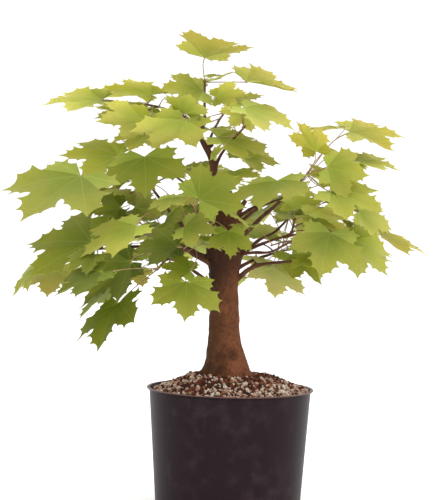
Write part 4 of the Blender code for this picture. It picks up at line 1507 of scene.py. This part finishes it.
def grow_shoot(mass, taken, screen, dice):
    """Carry the stem on to a fine side shoot with young leaves, where there is room."""
    for _ in range(SHOOT_TRIES):
        node = dice.choice(mass.nodes)
        heading = mass.heading + dice.uniform(*SHOOT_TURN)
        aim = direction(heading, dice.uniform(*SHOOT_RISE))
        end = node + aim * dice.uniform(*SHOOT_RUN) * MM
        pair = young_pair(end, heading, screen, dice)
        shoot = BVHTree.FromPolygons(*rod_solid([node + aim * ROOT_SUNK, end],
                                                SHOOT_RADIUS + TOUCH_MARGIN))
        if len(pair) < 2 or any(shoot.overlap(tree) for _, tree in taken
                                if tree is not mass.stem_tree):
            continue
        kept = [leaf for leaf in pair if mass.add_if_clear(leaf, taken)]
        if kept:
            mass.shoots.append((node, end))
            taken.append((mass, shoot))
            return


def plan_foliage(shoots):
    """Place every leaf: lead leaves, then the rule's, then those of the side shoots."""
    masses = [Mass(name) for name in MASSES]
    taken = [(None, tree_of(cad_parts[name])) for name in ("trunk", *LIMBS)]
    taken += [(mass, mass.stem_tree) for mass in masses]
    for mass in masses:
        place_lead_leaves(mass, taken)
    for number, mass in enumerate(masses):
        dice = random.Random(RULE_SEED + number)
        led = len(mass.leaves)
        grow_rule_leaves(mass, taken, dice)
        for leaf in mass.leaves[led:]:
            leaf.tint = spray_tint(leaf.joint, dice)
    fans = ([], [])
    for mass in masses:
        for leaf in mass.leaves:
            lay_in(fans, *leaf.fan())
    screen = BVHTree.FromPolygons(*fans)
    for number, mass in enumerate(masses):
        dice = random.Random(SHOOT_SEED + number)
        for _ in range(shoots):
            grow_shoot(mass, taken, screen, dice)
    return masses


def lobe_rows(margins):
    """Rows across a lobe, tip first: a spot on its vein, a place on each margin, and
    whether a side vein runs along the row."""
    rows, last = [], None
    for places in zip(*margins):
        spot = sum(along - SIDE_VEIN_SLANT * out for along, out in places) / len(places)
        last = spot if last is None else min(spot, last - VEIN_STEP)
        rows.append((last, places))
    teeth = [False] * len(rows)
    for row in range(1, len(rows) - 1):
        teeth[row] = margins[-1][row - 1][1] < margins[-1][row][1] > margins[-1][row + 1][1]
    rows += [(last * share, [(along * share, out * share) for along, out in rows[-1][1]])
             for share in ROWS_TO_JOINT]
    rows.append((0.0, [(0.0, 0.0)] * len(margins)))
    return rows, teeth + [False] * (len(rows) - len(teeth))


def blade_pattern(across):
    """A flat blade laid along its veins: its outline's places, its faces, and each
    place's distance from a main vein and from a side vein."""
    corners, faces, off_vein, off_rib = [], [], [], []
    for turn, towards, away in HALF_BLADE_LOBES:
        sides = [(1, away)] if towards is None else [(-1, towards), (1, away)]
        rows, teeth = lobe_rows([margin for _, margin in sides])
        spots = [row[0] for row in rows]
        ribs = [spot for spot, tooth in zip(spots, teeth) if tooth]
        axis = Vector((math.cos(math.radians(turn)), math.sin(math.radians(turn))))
        for number, (way, _) in enumerate(sides):
            first = len(corners)
            for spot, places in rows:
                along, out = places[number]
                edge = axis * along + axis.orthogonal() * out * way
                for share in across:
                    place = (axis * spot).lerp(edge, share)
                    corners.append((place.x, place.y, 0.0))
                    off_vein.append(share * out)
                    off_rib.append(min(abs(spot - rib) for rib in ribs))
            wide = len(across)
            for row in range(len(rows) - 1):
                for column in range(wide - 1):
                    corner = first + row * wide + column
                    faces.append((corner, corner + 1, corner + wide + 1, corner + wide))
    pattern = mesh_piece("blade_pattern", corners, faces)
    mark_corners(pattern, {"off_vein": off_vein, "off_rib": off_rib})
    modify(pattern, "MIRROR", use_axis=(False, True, False), use_clip=True, merge_threshold=WELD)
    in_edit_mode(pattern)
    bpy.ops.mesh.remove_doubles(threshold=BLADE_WELD)
    bpy.ops.mesh.dissolve_degenerate(threshold=BLADE_SLIVER)
    close_outwards()
    if sum(face.normal.z for face in pattern.data.polygons) < 0.0:
        pattern.data.flip_normals()
    marks = {name: [item.value for item in pattern.data.attributes[name].data]
             for name in ("off_vein", "off_rib")}
    places, faces = use_up(pattern)
    outline = [tuple(place.xy) for place in places]
    marks["far"] = [math.hypot(u, v) for u, v in outline]
    return outline, faces, marks


def underside_of(colour, settings):
    """The colour of a blade's underside: paler, partly with painted light shining through it, and
    greyer on a lighter leaf.
    """
    grey_share = GREY_UNDER_LIGHT * sum(colour) / sum(LEAF_TINTS_LIT_AND_SHADED["light"])
    return tuple(UNDERSIDE_PALER_AND_LIT_THROUGH * ((1.0 - grey_share) * part + grey_share * grey)
                 for part, grey in zip(colour, settings.underside))


def build_leaves(masses, settings):
    """One joined piece for each tint; every leaf has a shape of its own."""
    grown = blade_pattern(ACROSS_LOBE)
    young = blade_pattern(ACROSS_YOUNG_LOBE)
    for tint, colour in LEAF_TINTS_LIT_AND_SHADED.items():
        heap = ([], [])
        marks = {"off_vein": [], "off_rib": [], "far": []}
        carried = set()
        for mass in masses:
            for number, leaf in enumerate(mass.leaves):
                if leaf.tint != tint:
                    continue
                outline, faces, blade_marks = young if leaf.young else grown
                dice = random.Random(mass.name + str(number))
                lay_in(heap, leaf.blade(outline, settings, dice), faces)
                for name, values in blade_marks.items():
                    marks[name] += values
                carried.add(mass.name)
        finishes = [leaf_finish("leaf_" + tint, colour, settings),
                    leaf_finish("leaf_under_" + tint, underside_of(colour, settings), settings)]
        spray = mesh_piece("leaves_" + tint, *heap, finishes)
        mark_corners(spray, marks)
        modify(spray, "SOLIDIFY", thickness=settings.thickness, offset=-1.0, material_offset=1)
        soften(spray, 50.0)
        hand_over(spray, sorted(carried))


def build_stalks(masses, settings):
    runs = []
    for leaf in (leaf for mass in masses for leaf in mass.leaves):
        route = leaf.stalk_route(STALK_RINGS)
        forward, _, normal = leaf.axes
        route[-1] = leaf.joint + forward * STALK_ON * MM - normal * STALK_UNDER * MM
        size = 0.55 + 0.45 * leaf.width / (100 * MM)
        radii = [size * (STALK_SLIM + STALK_FOOT * math.exp(-i * 1.6)
                         + STALK_HEAD * math.exp((i - STALK_RINGS) * 1.4)) * MM
                 for i in range(STALK_RINGS + 1)]
        runs.append((route, radii))
    stalks = rods("leaf_stalks", runs, 6, stalk_finish(settings))
    soften(stalks, 60.0)
    hand_over(stalks, MASSES)


def bud_pattern():
    """One pointed bud of unit length along +Z, with its scales' ridges."""
    bpy.ops.mesh.primitive_uv_sphere_add(segments=8, ring_count=6, radius=0.5)
    corners, faces = use_up(bpy.context.object)
    for corner in corners:
        narrow = 0.62 - 0.42 * smoothstep(corner.z, 0.0, 0.5)
        narrow *= 1.0 + 0.10 * math.cos(4.0 * math.atan2(corner.y, corner.x))
        corner.x *= narrow
        corner.y *= narrow
        corner.z += 0.42
    return corners, faces


def build_buds(buds):
    """Put a bud at each (foot, aim, length)."""
    pattern, faces = bud_pattern()
    heap = ([], [])
    for foot, aim, length in buds:
        turn = aim.normalized().to_track_quat("Z", "X")
        lay_in(heap, [foot + turn @ (corner * length) for corner in pattern], faces)
    tips = mesh_piece("buds", *heap, [bud_finish()])
    soften(tips, 60.0)
    hand_over(tips, MASSES)


def build_twigs(masses, bark):
    runs, buds = [], []
    for mass in masses:
        count = len(mass.stem)
        first, end = mass.stem[0], mass.stem[-1]
        back = mass.tip - (first - mass.tip).normalized() * TWIG_SUNK * MM
        radii = [mass.tip_radius * TWIG_SEAT] + [
            TWIG_RADIUS * (1.0 + (TWIG_TAPER - 1.0) * i / (count - 1))
            * (1.0 + TWIG_SWELLING * (i % 2)) for i in range(count)]
        runs.append(([back, *mass.stem], radii))
        buds.append((end, (end - mass.stem[-2]).normalized(), BUD_LENGTHS["end"]))
        side = (end - first).orthogonal().normalized()
        for node in mass.nodes[::2]:
            buds += [(node + side * way * TWIG_RADIUS * BUD_SEAT, side * way * 0.5 + UP * 0.5,
                      BUD_LENGTHS["side"]) for way in (-1, 1)]
        for node, tip in mass.shoots:
            middle = node.lerp(tip, 0.5) + UP * SHOOT_ARCH * MM
            route = smooth_route([node, middle, tip], SHOOT_STEP)
            runs.append((route, [SHOOT_RADIUS * (SHOOT_FOOT - SHOOT_TAPER * i / len(route))
                                 for i in range(len(route))]))
            buds.append((tip, (tip - middle).normalized(), BUD_LENGTHS["shoot"]))
    twigs = rods("twigs", runs, 8, young_bark(bark))
    soften(twigs, 60.0)
    hand_over(twigs, MASSES)
    build_buds(buds)


def aim_at(place, target):
    return (Vector(target) - Vector(place)).to_track_quat("-Z", "Y").to_euler()


def build_stage(settings):
    bpy.ops.mesh.primitive_circle_add(vertices=128, radius=FLOOR_RADIUS, fill_type="NGON",
                                      location=(0.0, 0.0, -FLOOR_DROP))
    floor = bpy.context.object
    floor.name = "floor"
    paint = Paint("floor_white", {"Base Color": (0.97, 0.97, 0.97), "Specular IOR Level": 0.1,
                                  "Emission Color": (1.0, 1.0, 1.0), "Emission Strength": 0.30})
    paint.surface({"Roughness": 0.7 + paint.mottle(0.4) * 0.1})
    floor.data.materials.append(paint.material)
    world = bpy.data.worlds.new("white_surround")
    world.use_nodes = True
    background = world.node_tree.nodes["Background"]
    background.inputs["Color"].default_value = (1.0, 1.0, 1.0, 1.0)
    background.inputs["Strength"].default_value = settings.surround
    bpy.context.scene.world = world
    lamps = (("key_light", (1.9, -1.7, 1.7), 1.4, settings.key_power),
             ("top_light", (0.5, 0.3, 2.4), 1.8, settings.top_power))
    for name, place, size, power in lamps:
        bpy.ops.object.light_add(type="AREA", location=place, rotation=aim_at(place, LIT_CENTRE))
        lamp = bpy.context.object
        lamp.name = name
        lamp.data.size = size
        lamp.data.energy = power
    turn = Matrix.Rotation(CAMERA_TILT, 3, "X") @ Matrix.Rotation(CAMERA_ROLL, 3, "Z")
    bpy.ops.object.camera_add(location=EYE, rotation=turn.to_euler())
    camera = bpy.context.object
    camera.data.sensor_width = SENSOR
    camera.data.lens = SENSOR * PHOTO_FOCAL / PHOTO_HEIGHT
    bpy.context.scene.camera = camera
    bpy.context.scene.view_settings.view_transform = "Standard"
    bpy.context.scene.view_settings.look = "None"


class BONSAI_OT_pot(bpy.types.Operator):
    """Build the nursery pot with its rolled lip and drain slots"""

    bl_idname = "bonsai.make_pot"
    bl_label = "Make Pot"

    def execute(self, context):
        build_pot(context.scene.bonsai_pot)
        return {"FINISHED"}


class BONSAI_OT_soil(bpy.types.Operator):
    """Build the mounded potting mix and the grit that lies on it"""

    bl_idname = "bonsai.make_soil"
    bl_label = "Make Soil"

    def execute(self, context):
        build_soil(context.scene.bonsai_soil)
        build_grains(context.scene.bonsai_soil)
        return {"FINISHED"}


class BONSAI_OT_wood(bpy.types.Operator):
    """Build the trunk, the boughs and the pruned stubs, with the bark's relief"""

    bl_idname = "bonsai.make_wood"
    bl_label = "Make Trunk and Boughs"

    def execute(self, context):
        build_wood(context.scene.bonsai_bark)
        return {"FINISHED"}


class BONSAI_OT_foliage(bpy.types.Operator):
    """Grow the twigs, buds, leaf stalks and leaves on from the boughs"""

    bl_idname = "bonsai.make_foliage"
    bl_label = "Make Foliage"

    def execute(self, context):
        foliage = context.scene.bonsai_foliage
        masses = plan_foliage(foliage.shoots)
        build_twigs(masses, context.scene.bonsai_bark)
        build_stalks(masses, foliage)
        build_leaves(masses, foliage)
        return {"FINISHED"}


class BONSAI_OT_stage(bpy.types.Operator):
    """Set up the white floor, the soft lights and the camera"""

    bl_idname = "bonsai.make_stage"
    bl_label = "Make Stage"

    def execute(self, context):
        build_stage(context.scene.bonsai_stage)
        return {"FINISHED"}


MAKERS = (BONSAI_OT_pot, BONSAI_OT_soil, BONSAI_OT_wood, BONSAI_OT_foliage, BONSAI_OT_stage)
SETTINGS = {
    "bonsai_pot": PotSettings,
    "bonsai_soil": SoilSettings,
    "bonsai_bark": BarkSettings,
    "bonsai_foliage": FoliageSettings,
    "bonsai_stage": StageSettings,
}


class BONSAI_PT_panel(bpy.types.Panel):
    """Lists what can be made"""

    bl_idname = "BONSAI_PT_panel"
    bl_label = "Norway Maple Bonsai"
    bl_space_type = "VIEW_3D"
    bl_region_type = "UI"
    bl_category = "Bonsai"

    def draw(self, context):
        for maker in MAKERS:
            self.layout.operator(maker.bl_idname)
        for name, group in SETTINGS.items():
            box = self.layout.box()
            for key in group.__annotations__:
                box.prop(getattr(context.scene, name), key)


def register():
    for name, group in SETTINGS.items():
        bpy.utils.register_class(group)
        setattr(bpy.types.Scene, name, PointerProperty(type=group))
    for maker in (*MAKERS, BONSAI_PT_panel):
        bpy.utils.register_class(maker)


def unregister():
    for maker in reversed((*MAKERS, BONSAI_PT_panel)):
        bpy.utils.unregister_class(maker)
    for name, group in SETTINGS.items():
        delattr(bpy.types.Scene, name)
        bpy.utils.unregister_class(group)


def main():
    register()
    bpy.ops.bonsai.make_pot()
    bpy.ops.bonsai.make_soil()
    bpy.ops.bonsai.make_wood()
    bpy.ops.bonsai.make_foliage()
    bpy.ops.bonsai.make_stage()


if __name__ == "__main__":
    main()
